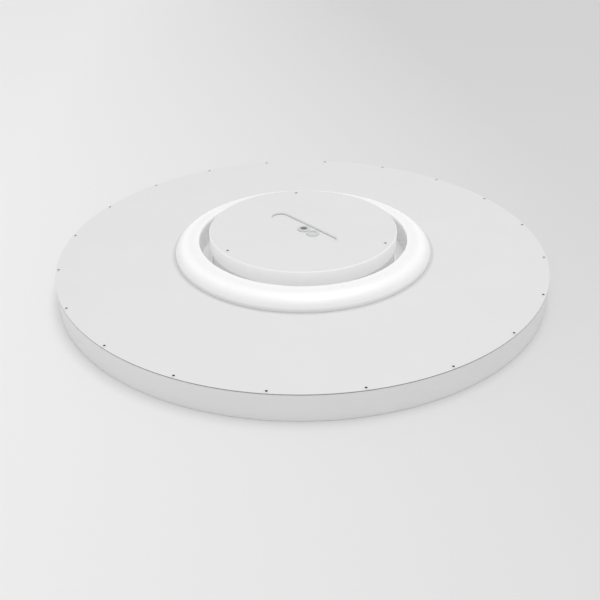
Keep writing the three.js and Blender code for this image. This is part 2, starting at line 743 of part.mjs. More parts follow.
function ledLead() {
  const [x, y] = WIRE_HOLE_AT;
  const board = radians(-45);
  const reach = LED_BOARD_IN - SEAT - 1;
  return wire(
    [
      [driverHalf - 5, DRIVER.y - 2, wireLevel],
      [driverHalf + 6, DRIVER.y - 1, wireLevel],
      [x, y - LEAD_LANE, PAN_TOP + 4],
      [x, y - LEAD_LANE, PAN_BOTTOM - 1],
      [x + 5, y - 14, underPan],
      [(reach - 12) * Math.cos(board), (reach - 12) * Math.sin(board), underPan],
      [reach * Math.cos(board), reach * Math.sin(board), underPan],
    ],
    24,
  );
}

function haloLead() {
  const [x, y] = WIRE_HOLE_AT;
  const [endX, endY] = haloWireEnd();
  return wire(
    [
      [driverHalf - 5, DRIVER.y + 4, wireLevel],
      [driverHalf + 6, DRIVER.y + 5, wireLevel + 1],
      [x, y + LEAD_LANE, PAN_TOP + 5],
      [x, y + LEAD_LANE, PAN_BOTTOM - 1],
      [x + 12, y - 3, underPan],
      [endX - 8, endY + 4, underPan],
      [endX, endY, PAN_BOTTOM - 0.5],
      [endX, endY, PAN_TOP],
    ],
    28,
  );
}

// ---- Placing everything ----

place("side_ring", sideRing(), "white_paint");
place("back_plate", backPlate(), "white_paint");
const diffuser = post(DIFFUSER_R, 0, 0, DIFFUSER_BOTTOM, DIFFUSER_TOP, OUTER_SIDES);
place("front_diffuser", diffuser, "opal");
const gasketOutline = [
  [DIFFUSER_R - GASKET_WIDTH, GASKET_BOTTOM],
  [DIFFUSER_R, GASKET_BOTTOM],
  [DIFFUSER_R, GASKET_TOP],
  [DIFFUSER_R - GASKET_WIDTH, GASKET_TOP],
];
place("diffuser_gasket", turned(gasketOutline, OUTER_SIDES), "foam");
place("edge_reflector", edgeReflector(), "white_plastic");
place("carrier_pan", carrierPan(), "white_paint");
for (let k = 0; k < LED_BOARDS; k++) place(`led_board_${k + 1}`, ledBoard(k), "board");

place("halo_board", haloBoard(), "board");
place("halo_collar", haloCollar(), "white_paint");
place("halo_reflector", haloReflector(), "white_plastic");
place("halo_ring", haloRing(), "opal");

place("drum", drum(), "white_paint");
place("ceiling_cap", ceilingCap(), "white_paint");
GROMMETS_X.forEach((x, k) => {
  place(`cable_grommet_${k + 1}`, grommetShape(), "grey_rubber").position.set(x, 0, 0);
});
locks.forEach(({ angle, x, y }, k) => {
  place(`lock_catch_${k + 1}`, catchShape(), "zinc").rotation.z = radians(angle);
  placeScrew(`cap_screw_${k + 1}`, sunkScrew(CAP_TOP - CATCH_BOTTOM - 1), "white_paint", x, y, CAP_TOP);
});
rimScrews.forEach(({ x, y }, k) => {
  const name = `rim_screw_${String(k + 1).padStart(2, "0")}`;
  placeScrew(name, panScrew(RIM_SCREW_DEPTH), "white_paint", x, y, PLATE_TOP + SEAT / 2);
});

place("driver_case", driverCase(), "white_plastic");
place("driver_board", driverBoard(), "green_board");
place("driver_lid", driverLid(), "white_plastic");
place("terminal_block", terminalBlock(), "white_plastic");
["line", "neutral", "earth"].forEach((pole, k) => {
  place(`${pole}_button`, terminalButton(poles[k]), "orange_plastic");
});
place("cable_clamp", cableClamp(), "white_plastic");
const clampTop = ON_PAN + CLAMP.height + SEAT / 2;
clampScrewPlaces().forEach(([x, y], k) => {
  placeScrew(`clamp_screw_${k + 1}`, panScrew(CLAMP_SCREW_DEPTH), "zinc", x, y, clampTop);
});
place("earth_stud", earthStud(), "zinc");
place("line_wire", supplyWire(poles[0], 0), "brown_wire");
place("neutral_wire", supplyWire(poles[1], 5), "blue_wire");
place("earth_wire", earthWire(), "green_wire");
place("led_lead", ledLead(), "white_wire");
place("halo_lead", haloLead(), "white_wire");

export default luminaire;
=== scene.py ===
"""Looks of a round LED ceiling luminaire that lies on its light side, built round the packed CAD frame.

Metres, +Z towards the ceiling side. The long pocket of the ceiling cap runs along X.
"""

import json
import math

import bmesh
import bpy
from bpy.props import FloatProperty, FloatVectorProperty, IntProperty, PointerProperty
from mathutils import Matrix, Vector
from mathutils.geometry import interpolate_bezier


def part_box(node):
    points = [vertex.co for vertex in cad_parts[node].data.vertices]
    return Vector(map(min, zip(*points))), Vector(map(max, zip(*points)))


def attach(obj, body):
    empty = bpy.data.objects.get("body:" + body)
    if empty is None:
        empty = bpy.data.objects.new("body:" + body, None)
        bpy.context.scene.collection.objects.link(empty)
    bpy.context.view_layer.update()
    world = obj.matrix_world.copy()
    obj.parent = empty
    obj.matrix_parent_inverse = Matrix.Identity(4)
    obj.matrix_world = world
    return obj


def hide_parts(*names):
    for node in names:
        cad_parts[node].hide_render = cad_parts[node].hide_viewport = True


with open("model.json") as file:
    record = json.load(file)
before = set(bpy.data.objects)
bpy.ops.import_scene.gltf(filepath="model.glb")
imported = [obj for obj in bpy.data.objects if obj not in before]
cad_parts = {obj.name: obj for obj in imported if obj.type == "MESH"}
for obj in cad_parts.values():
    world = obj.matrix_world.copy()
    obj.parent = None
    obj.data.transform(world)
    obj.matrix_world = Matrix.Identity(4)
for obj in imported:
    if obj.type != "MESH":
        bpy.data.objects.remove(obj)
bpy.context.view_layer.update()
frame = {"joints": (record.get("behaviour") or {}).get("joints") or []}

bl_info = {
    "name": "Round ceiling luminaire",
    "version": (1, 0, 0),
    "blender": (4, 5, 0),
    "location": "View3D > Sidebar > Luminaire",
    "description": "Builds the fine surface of a round ceiling luminaire round its CAD frame",
    "category": "Object",
}

MM = 0.001
TURN = 2 * math.pi
PAN_INSET = 12.3 * MM
WIRE_HOLE = (84 * MM, -34 * MM)
HALO_LEAD_TURN = math.radians(-30)

# ---- Sizes that come from the frame ----


def low(node):
    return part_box(node)[0]


def high(node):
    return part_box(node)[1]


def middle(node):
    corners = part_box(node)
    return (corners[0] + corners[1]) / 2


OUTER_R = high("side_ring").x
BAND_TOP = high("side_ring").z
PLATE_BOTTOM = low("back_plate").z
PLATE_TOP = high("back_plate").z
PAN_BOTTOM = low("carrier_pan").z
ON_PAN = low("drum").z
PAN_TOP = ON_PAN - 0.3 * MM
HALO_R = high("halo_ring").x
HALO_TOP = high("halo_ring").z
COLLAR_R = high("halo_collar").x
DRUM_R = high("drum").x
CAP_R = high("ceiling_cap").x
CAP_TOP = high("ceiling_cap").z
CAP_LOW = low("ceiling_cap").z


def ring_places(prefix, count, digits=1):
    """The middles of a family of numbered nodes, in the plane."""
    return [middle(f"{prefix}_{k + 1:0{digits}d}") for k in range(count)]


RIM_PLACES = ring_places("rim_screw", 20, 2)
LOCK_PLACES = ring_places("cap_screw", 3)
CLAMP_PLACES = ring_places("clamp_screw", 2)
GROMMET_PLACES = ring_places("cable_grommet", 2)


# ---- User settings ----


def length(name, description, default):
    return FloatProperty(name=name, description=description, default=default, min=0, unit="LENGTH")


def tint(name, description, default):
    return FloatVectorProperty(
        name=name, description=description, default=default, size=3, min=0, max=1, subtype="COLOR"
    )


class LuminaireBody(bpy.types.PropertyGroup):
    sides: IntProperty(name="Sides", description="Facets round the rim", default=360, min=24)
    edge: length("Edge", "Rounding of the band's outer edges", 0.6 * MM)
    lip: length("Lip", "Width of the lip at the light side", 9 * MM)
    wall: length("Wall", "Thickness of the band", 1.6 * MM)
    rib: length("Rib", "Width of the screw rib", 7.5 * MM)


class LuminaireScrews(bpy.types.PropertyGroup):
    head: length("Head", "Radius of a pan head", 2.8 * MM)
    rise: length("Rise", "Height of a pan head", 0.5 * MM)
    sunk: length("Sunk head", "Radius of a countersunk head", 2.6 * MM)
    drive: length("Drive", "Outer radius of the six-lobed drive", 1.55 * MM)
    shank: length("Shank", "Radius of the shank", 1.45 * MM)
    seed: IntProperty(name="Seed", description="Seed for how far each screw is turned", default=7)


class LuminaireHalo(bpy.types.PropertyGroup):
    width: length("Width", "From the halo's inner edge to its outer edge", 30 * MM)
    wall: length("Wall", "Thickness of the opal", 2 * MM)
    lip: length("Lip", "Height of the inner lip", 3.8 * MM)
    edge: length("Edge", "Rounding of the inner edge", 1.4 * MM)
    steps: IntProperty(name="Steps", description="Steps along the crown", default=28, min=6)


class LuminaireCap(bpy.types.PropertyGroup):
    sheet: length("Sheet", "Thickness of the pressed sheet", 1.2 * MM)
    edge: length("Edge", "Outer rounding between top and skirt", 1.5 * MM)
    pocket_length: length("Pocket length", "Length of the cable pocket", 110 * MM)
    pocket_width: length("Pocket width", "Width of the cable pocket", 22 * MM)
    pocket_depth: length("Pocket depth", "Depth of the cable pocket", 3 * MM)
    pocket_edge: length("Pocket edge", "Rounding of the rolled edge round the pocket", 2 * MM)
    pocket_seam: length("Pocket seam", "Height of the seam between the rolled edge and the tray", 0.6 * MM)


class LuminaireFinish(bpy.types.PropertyGroup):
    paint: tint("Paint", "Powder coat of the metal parts", (0.87, 0.87, 0.87))
    opal: tint("Opal", "Opal acrylic of the halo and the diffuser", (0.85, 0.85, 0.85))
    plastic: tint("Plastic", "Moulded white plastic", (0.80, 0.80, 0.79))
    rubber: tint("Rubber", "Cable grommets", (0.74, 0.745, 0.75))
    zinc: tint("Zinc", "Plated steel", (0.62, 0.63, 0.65))


class LuminaireStage(bpy.types.PropertyGroup):
    floor: tint("Floor", "Colour of the floor", (0.87, 0.87, 0.87))
    key: FloatProperty(name="Key", description="Strength of the key light", default=0.54, min=0)
    side: FloatProperty(name="Side", description="Power of the side light", default=2, min=0, unit="POWER")
    sky: FloatProperty(name="Sky", description="Strength of the light from all round", default=0.66, min=0)


def settings(name):
    return getattr(bpy.context.scene, "luminaire_" + name)


# ---- Materials ----


def shader_node(tree, kind, inputs=None, **options):
    """A node with its options set and its inputs given as values or as sockets to link."""
    node = tree.nodes.new(kind)
    for key, value in options.items():
        setattr(node, key, value)
    for key, value in (inputs or {}).items():
        if isinstance(value, bpy.types.NodeSocket):
            tree.links.new(value, node.inputs[key])
        else:
            node.inputs[key].default_value = value
    return node


def new_finish(name, **values):
    """A material with a Principled shader, its plain values set; returns it with its tree and shader."""
    finish = bpy.data.materials.new(name)
    finish.use_nodes = True
    tree = finish.node_tree
    shader = tree.nodes["Principled BSDF"]
    for key, value in values.items():
        shader.inputs[key.replace("_", " ")].default_value = value
    return finish, tree, shader


def noise_of(tree, place, scale, detail):
    noise = shader_node(
        tree, "ShaderNodeTexNoise", {"Vector": place.outputs["Object"], "Scale": scale, "Detail": detail}
    )
    return noise.outputs["Fac"]


def bump_from(tree, shader, height, depth, strength):
    """Relief from a height, with its depth in metres."""
    bump = shader_node(
        tree, "ShaderNodeBump", {"Height": height, "Distance": depth, "Strength": strength}
    )
    tree.links.new(bump.outputs["Normal"], shader.inputs["Normal"])


def mottle(tree, shader, colour, scale, spread):
    """Colour that wanders a little round its middle over the surface."""
    place = shader_node(tree, "ShaderNodeTexCoord")
    ramp = shader_node(tree, "ShaderNodeValToRGB", {"Fac": noise_of(tree, place, scale, 3.0)})
    dark, light = ramp.color_ramp.elements
    dark.position, light.position = 0.3, 0.7
    dark.color = (*[c * (1 - spread) for c in colour], 1)
    light.color = (*[min(1, c * (1 + spread)) for c in colour], 1)
    tree.links.new(ramp.outputs["Color"], shader.inputs["Base Color"])
    return place


def uneven_gloss(tree, shader, place, scale, rough, spread):
    span = shader_node(
        tree,
        "ShaderNodeMapRange",
        {"Value": noise_of(tree, place, scale, 2.0), "From Min": 0.3, "From Max": 0.7,
         "To Min": rough - spread, "To Max": rough + spread},
    )
    tree.links.new(span.outputs["Result"], shader.inputs["Roughness"])


def surface(name, colour, mottling, gloss, grain=None, **values):
    """A finish with mottled colour, uneven gloss and, where it has one, a fine grain.

    The grain is its scale, its depth in metres and its strength.
    """
    finish, tree, shader = new_finish(name, **values)
    place = mottle(tree, shader, colour, *mottling)
    uneven_gloss(tree, shader, place, *gloss)
    if grain:
        scale, depth, strength = grain
        bump_from(tree, shader, noise_of(tree, place, scale, 2.0), depth, strength)
    return finish, tree, shader, place


def radius_ramp(tree, place, inner, outer, shares):
    """A ramp round the Z axis, as (share of the way from inner to outer, grey) stops."""
    flat = shader_node(
        tree, "ShaderNodeVectorMath", {0: place.outputs["Object"], 1: (1, 1, 0)}, operation="MULTIPLY"
    )
    radius = shader_node(tree, "ShaderNodeVectorMath", {0: flat.outputs[0]}, operation="LENGTH")
    share = shader_node(
        tree, "ShaderNodeMapRange", {"Value": radius.outputs["Value"], "From Min": inner, "From Max": outer}
    )
    ramp = shader_node(tree, "ShaderNodeValToRGB", {"Fac": share.outputs["Result"]})
    ramp.color_ramp.interpolation = "EASE"
    stops = ramp.color_ramp.elements
    while len(stops) < len(shares):
        stops.new(0.5)
    for stop, (spot, grey) in zip(stops, shares):
        stop.position = spot
        stop.color = (grey, grey, grey, 1)
    return ramp


def glow_by_radius(tree, shader, place, inner, outer, glow):
    """Emission that changes with the distance from the Z axis."""
    shader.inputs["Emission Color"].default_value = (1, 1, 1, 1)
    ramp = radius_ramp(tree, place, inner, outer, glow)
    tree.links.new(ramp.outputs["Color"], shader.inputs["Emission Strength"])


def powder_coat(name="powder coat", glow=None, foot=None, **values):
    """Satin powder coat: orange peel about a millimetre across, and the faintest mottling.

    A glow stands for the halo's light scattered in the gap, and foot is the shade along the halo's foot.
    """
    finish, tree, shader, place = surface(
        name, settings("finish").paint, (18, 0.008), (60, 0.46, 0.03), (900, 0.02 * MM, 0.35), IOR=1.5,
        **values,
    )
    # Painted light: a glow by radius stands for the halo's light in the gap.
    if glow:
        glow_by_radius(tree, shader, place, CAP_R - 1.5 * MM, COLLAR_R + 1 * MM, glow)
    # Painted shade: the base colour darkens in a thin ring at the halo's foot.
    if foot:
        coat = shader.inputs["Base Color"].links[0].from_socket
        shade = radius_ramp(tree, place, HALO_R - 1 * MM, HALO_R + 7 * MM, foot).outputs["Color"]
        dimmed = shader_node(tree, "ShaderNodeVectorMath", {0: coat, 1: shade}, operation="MULTIPLY")
        tree.links.new(dimmed.outputs[0], shader.inputs["Base Color"])
    return finish


def opal_acrylic(name, inner, outer, glow):
    """Opal acrylic: light scatters in it, and it glows over its boards."""
    finish, tree, shader, place = surface(
        name, settings("finish").opal, (9, 0.004), (25, 0.32, 0.02), (160, 0.02 * MM, 0.2), IOR=1.49,
        Subsurface_Weight=0.3, Subsurface_Radius=(1, 1, 1), Subsurface_Scale=3 * MM, Coat_Weight=0.15,
        Coat_Roughness=0.2,
    )
    glow_by_radius(tree, shader, place, inner, outer, glow)
    return finish


# Stops by radius, each a share of the way out and a strength.
# Painted light: the glow of the collar, the pan and the cap's skirt round the gap.
PAINTED_GAP_GLOW = ((0.0, 0.0), (0.07, 0.17), (0.1, 0.17), (0.16, 0.04), (0.9, 0.04), (1.0, 0.0))
HALO_GLOW = ((0.0, 0.18), (0.3, 0.17), (0.6, 0.24), (0.95, 0.12), (1.0, 0.0))
# Painted shade: shares of the plate's colour, darkest at and just outside the halo's foot.
PAINTED_FOOT_SHADE = ((0.0, 0.86), (0.35, 0.86), (0.75, 1.0), (1.0, 1.0))
DIFFUSER_GLOW = ((0.0, 0.16), (0.4, 0.16), (0.85, 0.2), (1.0, 0.08))


def moulded(name, colour, rough=0.5, grain=700):
    """Moulded plastic with a fine spark-eroded grain."""
    return surface(name, colour, (40, 0.012), (90, rough, 0.04), (grain, 0.03 * MM, 0.4), IOR=1.5)[0]


def soft_rubber():
    colour = settings("finish").rubber
    return surface(
        "grommet rubber", colour, (120, 0.02), (200, 0.68, 0.06), (1500, 0.03 * MM, 0.5), IOR=1.52
    )[0]


def plated(name, colour, rough=0.34):
    """Zinc plate: metal with a fine crystalline cloudiness."""
    return surface(name, colour, (260, 0.07), (420, rough, 0.08), (900, 0.01 * MM, 0.4), Metallic=1.0)[0]


def dark_drive():
    """The unpainted bottom of a screw's drive."""
    return surface("bare drive", (0.03, 0.03, 0.032), (900, 0.3), (900, 0.6, 0.1), Metallic=0.6)[0]


def cell_foam():
    """Closed-cell foam: small dark bubbles."""
    finish, tree, shader = new_finish("cell foam", IOR=1.45, Roughness=0.95)
    place = mottle(tree, shader, (0.10, 0.10, 0.105), 300, 0.15)
    cells = shader_node(
        tree, "ShaderNodeTexVoronoi", {"Vector": place.outputs["Object"], "Scale": 1400.0}
    )
    bump_from(tree, shader, cells.outputs["Distance"], 0.2 * MM, 0.7)
    return finish


def solder_mask(name, colour):
    """A circuit board's lacquer, with the weave of the laminate just showing."""
    finish, tree, shader, place = surface(
        name, colour, (70, 0.03), (200, 0.33, 0.04), IOR=1.5, Coat_Weight=0.4
    )
    weave = shader_node(
        tree, "ShaderNodeTexWave", {"Vector": place.outputs["Object"], "Scale": 500.0, "Distortion": 0.3}
    )
    bump_from(tree, shader, weave.outputs["Fac"], 0.01 * MM, 0.4)
    return finish


def light_chip():
    """The yellow phosphor of an LED chip."""
    return surface("light chip", (0.85, 0.70, 0.22), (900, 0.05), (900, 0.4, 0.05), IOR=1.5)[0]


FINISH_MAKERS = {
    "paint": powder_coat,
    # Painted shade: the plate darkens along the halo's foot.
    "plate_paint_with_painted_shade": lambda: powder_coat("plate powder coat", foot=PAINTED_FOOT_SHADE),
    # Painted light: the parts round the gap glow as if lit by the halo.
    "gap_paint_with_painted_glow": lambda: powder_coat("powder coat by the halo", PAINTED_GAP_GLOW),
    # Painted light: the drum glows faintly all over, as if lit by the halo.
    "drum_paint_with_painted_glow": lambda: powder_coat(
        "powder coat of the drum", Emission_Color=(1, 1, 1, 1), Emission_Strength=0.05
    ),
    "halo": lambda: opal_acrylic("halo opal", HALO_R - settings("halo").width, HALO_R, HALO_GLOW),
    "opal": lambda: opal_acrylic("diffuser opal", 0, OUTER_R, DIFFUSER_GLOW),
    "plastic": lambda: moulded("white plastic", settings("finish").plastic),
    "black": lambda: moulded("black plastic", (0.03, 0.03, 0.032), 0.4),
    "orange": lambda: moulded("orange plastic", (0.72, 0.22, 0.04), 0.42),
    "rubber": soft_rubber,
    "zinc": lambda: plated("zinc plate", settings("finish").zinc),
    "aluminium": lambda: plated("bare aluminium", (0.75, 0.76, 0.77), 0.28),
    "copper": lambda: plated("copper winding", (0.72, 0.34, 0.18), 0.3),
    "drive": dark_drive,
    # Painted shade: dark grey metal on the plate's rim faces stands for the shadow in the seam.
    "sheared": lambda: plated("sheared sheet edge", (0.36, 0.37, 0.38), 0.5),
    "foam": cell_foam,
    "white_board": lambda: solder_mask("white solder mask", (0.84, 0.84, 0.81)),
    "green_board": lambda: solder_mask("green solder mask", (0.02, 0.13, 0.05)),
    "chip": light_chip,
    "brown_wire": lambda: moulded("brown insulation", (0.15, 0.07, 0.035), 0.38, 300),
    "blue_wire": lambda: moulded("blue insulation", (0.03, 0.11, 0.42), 0.38, 300),
    "green_wire": lambda: moulded("green insulation", (0.16, 0.36, 0.05), 0.38, 300),
    "white_wire": lambda: moulded("white insulation", (0.76, 0.76, 0.74), 0.38, 300),
}
finishes = {}


def finish_of(key):
    """Each finish is made once, when a piece first asks for it."""
    if key not in finishes:
        finishes[key] = FINISH_MAKERS[key]()
    return finishes[key]


# ---- Mesh helpers ----


def rounded(outline, steps=5):
    """An outline of (radius, height, rounding) with rounded corners and a close point on each side."""
    count = len(outline)
    points = []
    for k, (r, z, size) in enumerate(outline):
        here = Vector((r, z))
        before = (Vector(outline[k - 1][:2]) - here).normalized()
        after = (Vector(outline[(k + 1) % count][:2]) - here).normalized()
        if not size:
            points.append(here)
            continue
        half = before.angle(after) / 2
        tangent = size / math.tan(half)
        start, end = here + before * tangent, here + after * tangent
        centre = here + (before + after).normalized() * (size / math.sin(half))
        points.append(start + before * size * 0.4)
        first, last = start - centre, end - centre
        for step in range(steps + 1):
            points.append(centre + first.slerp(last, step / steps).normalized() * size)
        points.append(end + after * size * 0.4)
    return points


def new_tree(name, inputs):
    """A geometry nodes tree with named inputs, a maker of its nodes, and its inputs as sockets."""
    tree = bpy.data.node_groups.new(name, "GeometryNodeTree")
    sockets = tree.interface
    for label, kind in inputs:
        sockets.new_socket(label, in_out="INPUT", socket_type="NodeSocket" + kind)
    sockets.new_socket("Piece", in_out="OUTPUT", socket_type="NodeSocketGeometry")

    def node(kind, inputs=None, **options):
        return shader_node(tree, kind, inputs, **options)

    return tree, node, node("NodeGroupInput").outputs


def shown(sockets):
    """The one socket that a node shows, of those it has for each type of data."""
    return next(socket for socket in sockets if socket.enabled)


def turned_tree():
    """Geometry nodes that turn an outline in the XZ plane round Z, into a grid whose rows are its points."""
    tree, node, given = new_tree("Turned outline", (
        ("Outline", "Geometry"), ("Sides", "Int"), ("Closed", "Int"), ("Sharp above", "Float"),
        ("Finish", "Material"),
    ))

    def maths(operation, a, b=0.0):
        return node("ShaderNodeMath", {0: a, 1: b}, operation=operation).outputs[0]

    count = node("GeometryNodeAttributeDomainSize", {"Geometry": given["Outline"]}, component="MESH")
    points = count.outputs["Point Count"]
    rows = maths("ADD", points, given["Closed"])
    columns = maths("ADD", given["Sides"], 1.0)
    grid = node(
        "GeometryNodeMeshGrid", {"Size X": 1.0, "Size Y": 1.0, "Vertices X": columns, "Vertices Y": rows}
    )
    place = node("ShaderNodeSeparateXYZ", {0: node("GeometryNodeInputPosition").outputs[0]})
    angle = maths("MULTIPLY", maths("ADD", place.outputs["X"], 0.5), TURN)
    along = maths("ADD", place.outputs["Y"], 0.5)
    row = maths("ROUND", maths("MULTIPLY", along, maths("SUBTRACT", rows, 1.0)))
    sample = node(
        "GeometryNodeSampleIndex",
        {"Geometry": given["Outline"], "Value": node("GeometryNodeInputPosition").outputs[0],
         "Index": maths("MODULO", row, points)},
        data_type="FLOAT_VECTOR", domain="POINT",
    )
    turned = node(
        "ShaderNodeVectorRotate", {"Vector": sample.outputs["Value"], "Angle": angle}, rotation_type="Z_AXIS"
    )
    moved = node("GeometryNodeSetPosition", {"Geometry": grid.outputs["Mesh"], "Position": turned.outputs[0]})
    merged = node("GeometryNodeMergeByDistance", {"Geometry": moved.outputs[0], "Distance": 1e-6})
    bend = node("GeometryNodeInputMeshEdgeAngle").outputs["Unsigned Angle"]
    gentle = node(
        "FunctionNodeCompare", {"A": bend, "B": given["Sharp above"]},
        data_type="FLOAT", operation="LESS_THAN",
    )
    smooth = node(
        "GeometryNodeSetShadeSmooth",
        {"Geometry": merged.outputs[0], "Shade Smooth": gentle.outputs[0]},
        domain="EDGE",
    )
    real = node("GeometryNodeRealizeInstances", {"Geometry": smooth.outputs[0]})
    painted = node("GeometryNodeSetMaterial", {"Geometry": real.outputs[0], "Material": given["Finish"]})
    node("NodeGroupOutput", {0: painted.outputs[0]})
    return tree


def scatter_tree():
    """Geometry nodes that set one thing at every point of a mesh, each turned by its own seeded amount."""
    tree, node, given = new_tree("Set at points", (
        ("Points", "Geometry"), ("Thing", "Object"), ("Most turn", "Float"), ("Seed", "Int"),
        ("Finish", "Material"), ("Inner finish", "Material"),
    ))
    thing = node("GeometryNodeObjectInfo", {"Object": given["Thing"]})
    spread = node("FunctionNodeRandomValue", data_type="FLOAT")
    wanted = {"Max": given["Most turn"], "Seed": given["Seed"]}
    for socket in spread.inputs:
        if socket.name in wanted and socket.enabled:
            tree.links.new(wanted[socket.name], socket)
    fixed = node("GeometryNodeInputNamedAttribute", {"Name": "turn"}, data_type="FLOAT")
    total = node("ShaderNodeMath", {0: shown(spread.outputs), 1: shown(fixed.outputs)}, operation="ADD")
    facing = node("ShaderNodeCombineXYZ", {"Z": total.outputs[0]})
    placed = node(
        "GeometryNodeInstanceOnPoints",
        {"Points": given["Points"], "Instance": thing.outputs["Geometry"], "Rotation": facing.outputs[0]},
    )
    real = node("GeometryNodeRealizeInstances", {"Geometry": placed.outputs[0]})
    outer = node("GeometryNodeSetMaterial", {"Geometry": real.outputs[0], "Material": given["Finish"]})
    inside = node("GeometryNodeInputNamedAttribute", {"Name": "inner"}, data_type="BOOLEAN")
    inner = node(
        "GeometryNodeSetMaterial",
        {"Geometry": outer.outputs[0], "Material": given["Inner finish"], "Selection": shown(inside.outputs)},
    )
    node("NodeGroupOutput", {0: inner.outputs[0]})
    return tree


trees = {}


def tree_of(key):
    if key not in trees:
        trees[key] = {"turned": turned_tree, "scatter": scatter_tree}[key]()
    return trees[key]


def show(mesh, name):
    piece = bpy.data.objects.new(name, mesh)
    bpy.context.scene.collection.objects.link(piece)
    return piece


def drop(piece):
    data = piece.data
    bpy.data.objects.remove(piece)
    if isinstance(data, bpy.types.Mesh) and not data.users:
        bpy.data.meshes.remove(data)


def set_input(modifier, name, value):
    """A geometry nodes input is set by its socket's identifier."""
    for item in modifier.node_group.interface.items_tree:
        if item.item_type == "SOCKET" and item.in_out == "INPUT" and item.name == name:
            modifier[item.identifier] = value
            return
    raise ValueError("the tree has no input named " + name)


def settle(piece, name):
    """The piece with its modifiers worked out, as a plain mesh under its own name."""
    depsgraph = bpy.context.evaluated_depsgraph_get()
    mesh = bpy.data.meshes.new_from_object(piece.evaluated_get(depsgraph), depsgraph=depsgraph)
    drop(piece)
    mesh.name = name
    return show(mesh, name)


def face_out(piece):
    """Drops stray edges and points the faces outwards."""
    shape = bmesh.new()
    shape.from_mesh(piece.data)
    bmesh.ops.delete(shape, geom=[e for e in shape.edges if not e.link_faces], context="EDGES")
    bmesh.ops.delete(shape, geom=[v for v in shape.verts if not v.link_faces], context="VERTS")
    bmesh.ops.recalc_face_normals(shape, faces=shape.faces)
    shape.to_mesh(piece.data)
    shape.free()
    return piece


def turned(name, points, finish, closed=True, sides=None, sharp=40):
    """A solid of revolution from an outline of (radius, height) points."""
    mesh = bpy.data.meshes.new(name + " outline")
    edges = [(k, k + 1) for k in range(len(points) - 1)]
    mesh.from_pydata([(p[0], 0, p[1]) for p in points], edges, [])
    holder = show(mesh, name + " outline")
    nodes = holder.modifiers.new("Turned", "NODES")
    nodes.node_group = tree_of("turned")
    set_input(nodes, "Sides", sides or settings("body").sides)
    set_input(nodes, "Closed", int(closed))
    set_input(nodes, "Sharp above", math.radians(sharp))
    set_input(nodes, "Finish", finish_of(finish))
    return face_out(settle(holder, name))


def scattered(name, thing, places, finish, inner, most_turn, seed, turns=None):
    """Copies of a thing at places, as one mesh; the thing itself goes away."""
    mesh = bpy.data.meshes.new(name + " points")
    mesh.from_pydata([tuple(p) for p in places], [], [])
    turn = mesh.attributes.new("turn", "FLOAT", "POINT")
    turn.data.foreach_set("value", turns or [0.0] * len(places))
    holder = show(mesh, name + " points")
    nodes = holder.modifiers.new("Set", "NODES")
    nodes.node_group = tree_of("scatter")
    values = {"Thing": thing, "Most turn": most_turn, "Seed": seed, "Finish": finish_of(finish),
              "Inner finish": finish_of(inner)}
    for key, value in values.items():
        set_input(nodes, key, value)
    piece = settle(holder, name)
    drop(thing)
    return piece


def from_shape(shape, name, finish=None, smooth=True):
    """A bmesh as an object, shaded smooth between its sharp edges."""
    mesh = bpy.data.meshes.new(name)
    shape.to_mesh(mesh)
    shape.free()
    piece = show(mesh, name)
    if finish:
        mesh.materials.append(finish_of(finish))
    if smooth:
        mesh.shade_smooth()
        mesh.set_sharp_from_angle(angle=math.radians(35))
    return piece


def circle_loop(shape, radius, z, count, x=0.0, y=0.0, start=0.0):
    """A ring of vertices, anticlockwise seen from above."""
    angles = [start + TURN * k / count for k in range(count)]
    return [shape.verts.new((x + radius * math.cos(a), y + radius * math.sin(a), z)) for a in angles]


def stadium_loop(shape, reach, radius, z, half_count):
    """A ring of vertices round two half circles whose middles are reach either side of the origin on X."""
    loop = []
    for side, start in ((1, -math.pi / 2), (-1, math.pi / 2)):
        for k in range(half_count + 1):
            angle = start + math.pi * k / half_count
            spot = (side * reach + radius * math.cos(angle), radius * math.sin(angle), z)
            loop.append(shape.verts.new(spot))
    return loop


def arc(shape, radius, angles, z):
    """A row of vertices at angles round Z."""
    return [shape.verts.new((radius * math.cos(a), radius * math.sin(a), z)) for a in angles]


def stitch(shape, rings, ends=False):
    """Quads between each ring and the next, which match in count, and faces over the ends if wanted."""
    for first, second in zip(rings, rings[1:]):
        count = len(first)
        for k in range(count):
            following = (k + 1) % count
            shape.faces.new((first[k], first[following], second[following], second[k]))
    if ends:
        shape.faces.new(list(reversed(rings[0])))
        shape.faces.new(rings[-1])


def close_loop(shape, loop):
    """The edges between neighbours round a ring of vertices."""
    pairs = zip(loop, [*loop[1:], loop[0]])
    return [shape.edges.get(pair) or shape.edges.new(pair) for pair in pairs]


def flat_fill(shape, loops):
    """A flat face bounded by the first ring, with the others as holes in it."""
    edges = [edge for loop in loops for edge in close_loop(shape, loop)]
    bmesh.ops.triangle_fill(shape, use_beauty=True, use_dissolve=False, edges=edges)


def thicken(piece, thickness, offset=-1.0):
    solid = piece.modifiers.new("Sheet", "SOLIDIFY")
    solid.thickness = thickness
    solid.offset = offset
    solid.use_even_offset = True


def soften(piece, width, segments=2, angle=40):
    """Rounded edges, with the flat faces kept flat."""
    bevel = piece.modifiers.new("Soft edges", "BEVEL")
    bevel.width = width
    bevel.segments = segments
    bevel.limit_method = "ANGLE"
    bevel.angle_limit = math.radians(angle)
    bevel.harden_normals = True


def carve(piece, cutters):
    """Cuts closed shapes out of a piece; the cutters go away."""
    for cutter in cutters:
        cut = piece.modifiers.new("Cut", "BOOLEAN")
        cut.object = cutter
        cut.solver = "EXACT"
        cut.use_self = True
    made = settle(piece, piece.name)
    for cutter in cutters:
        drop(cutter)
    made.data.set_sharp_from_angle(angle=math.radians(35))
    return made


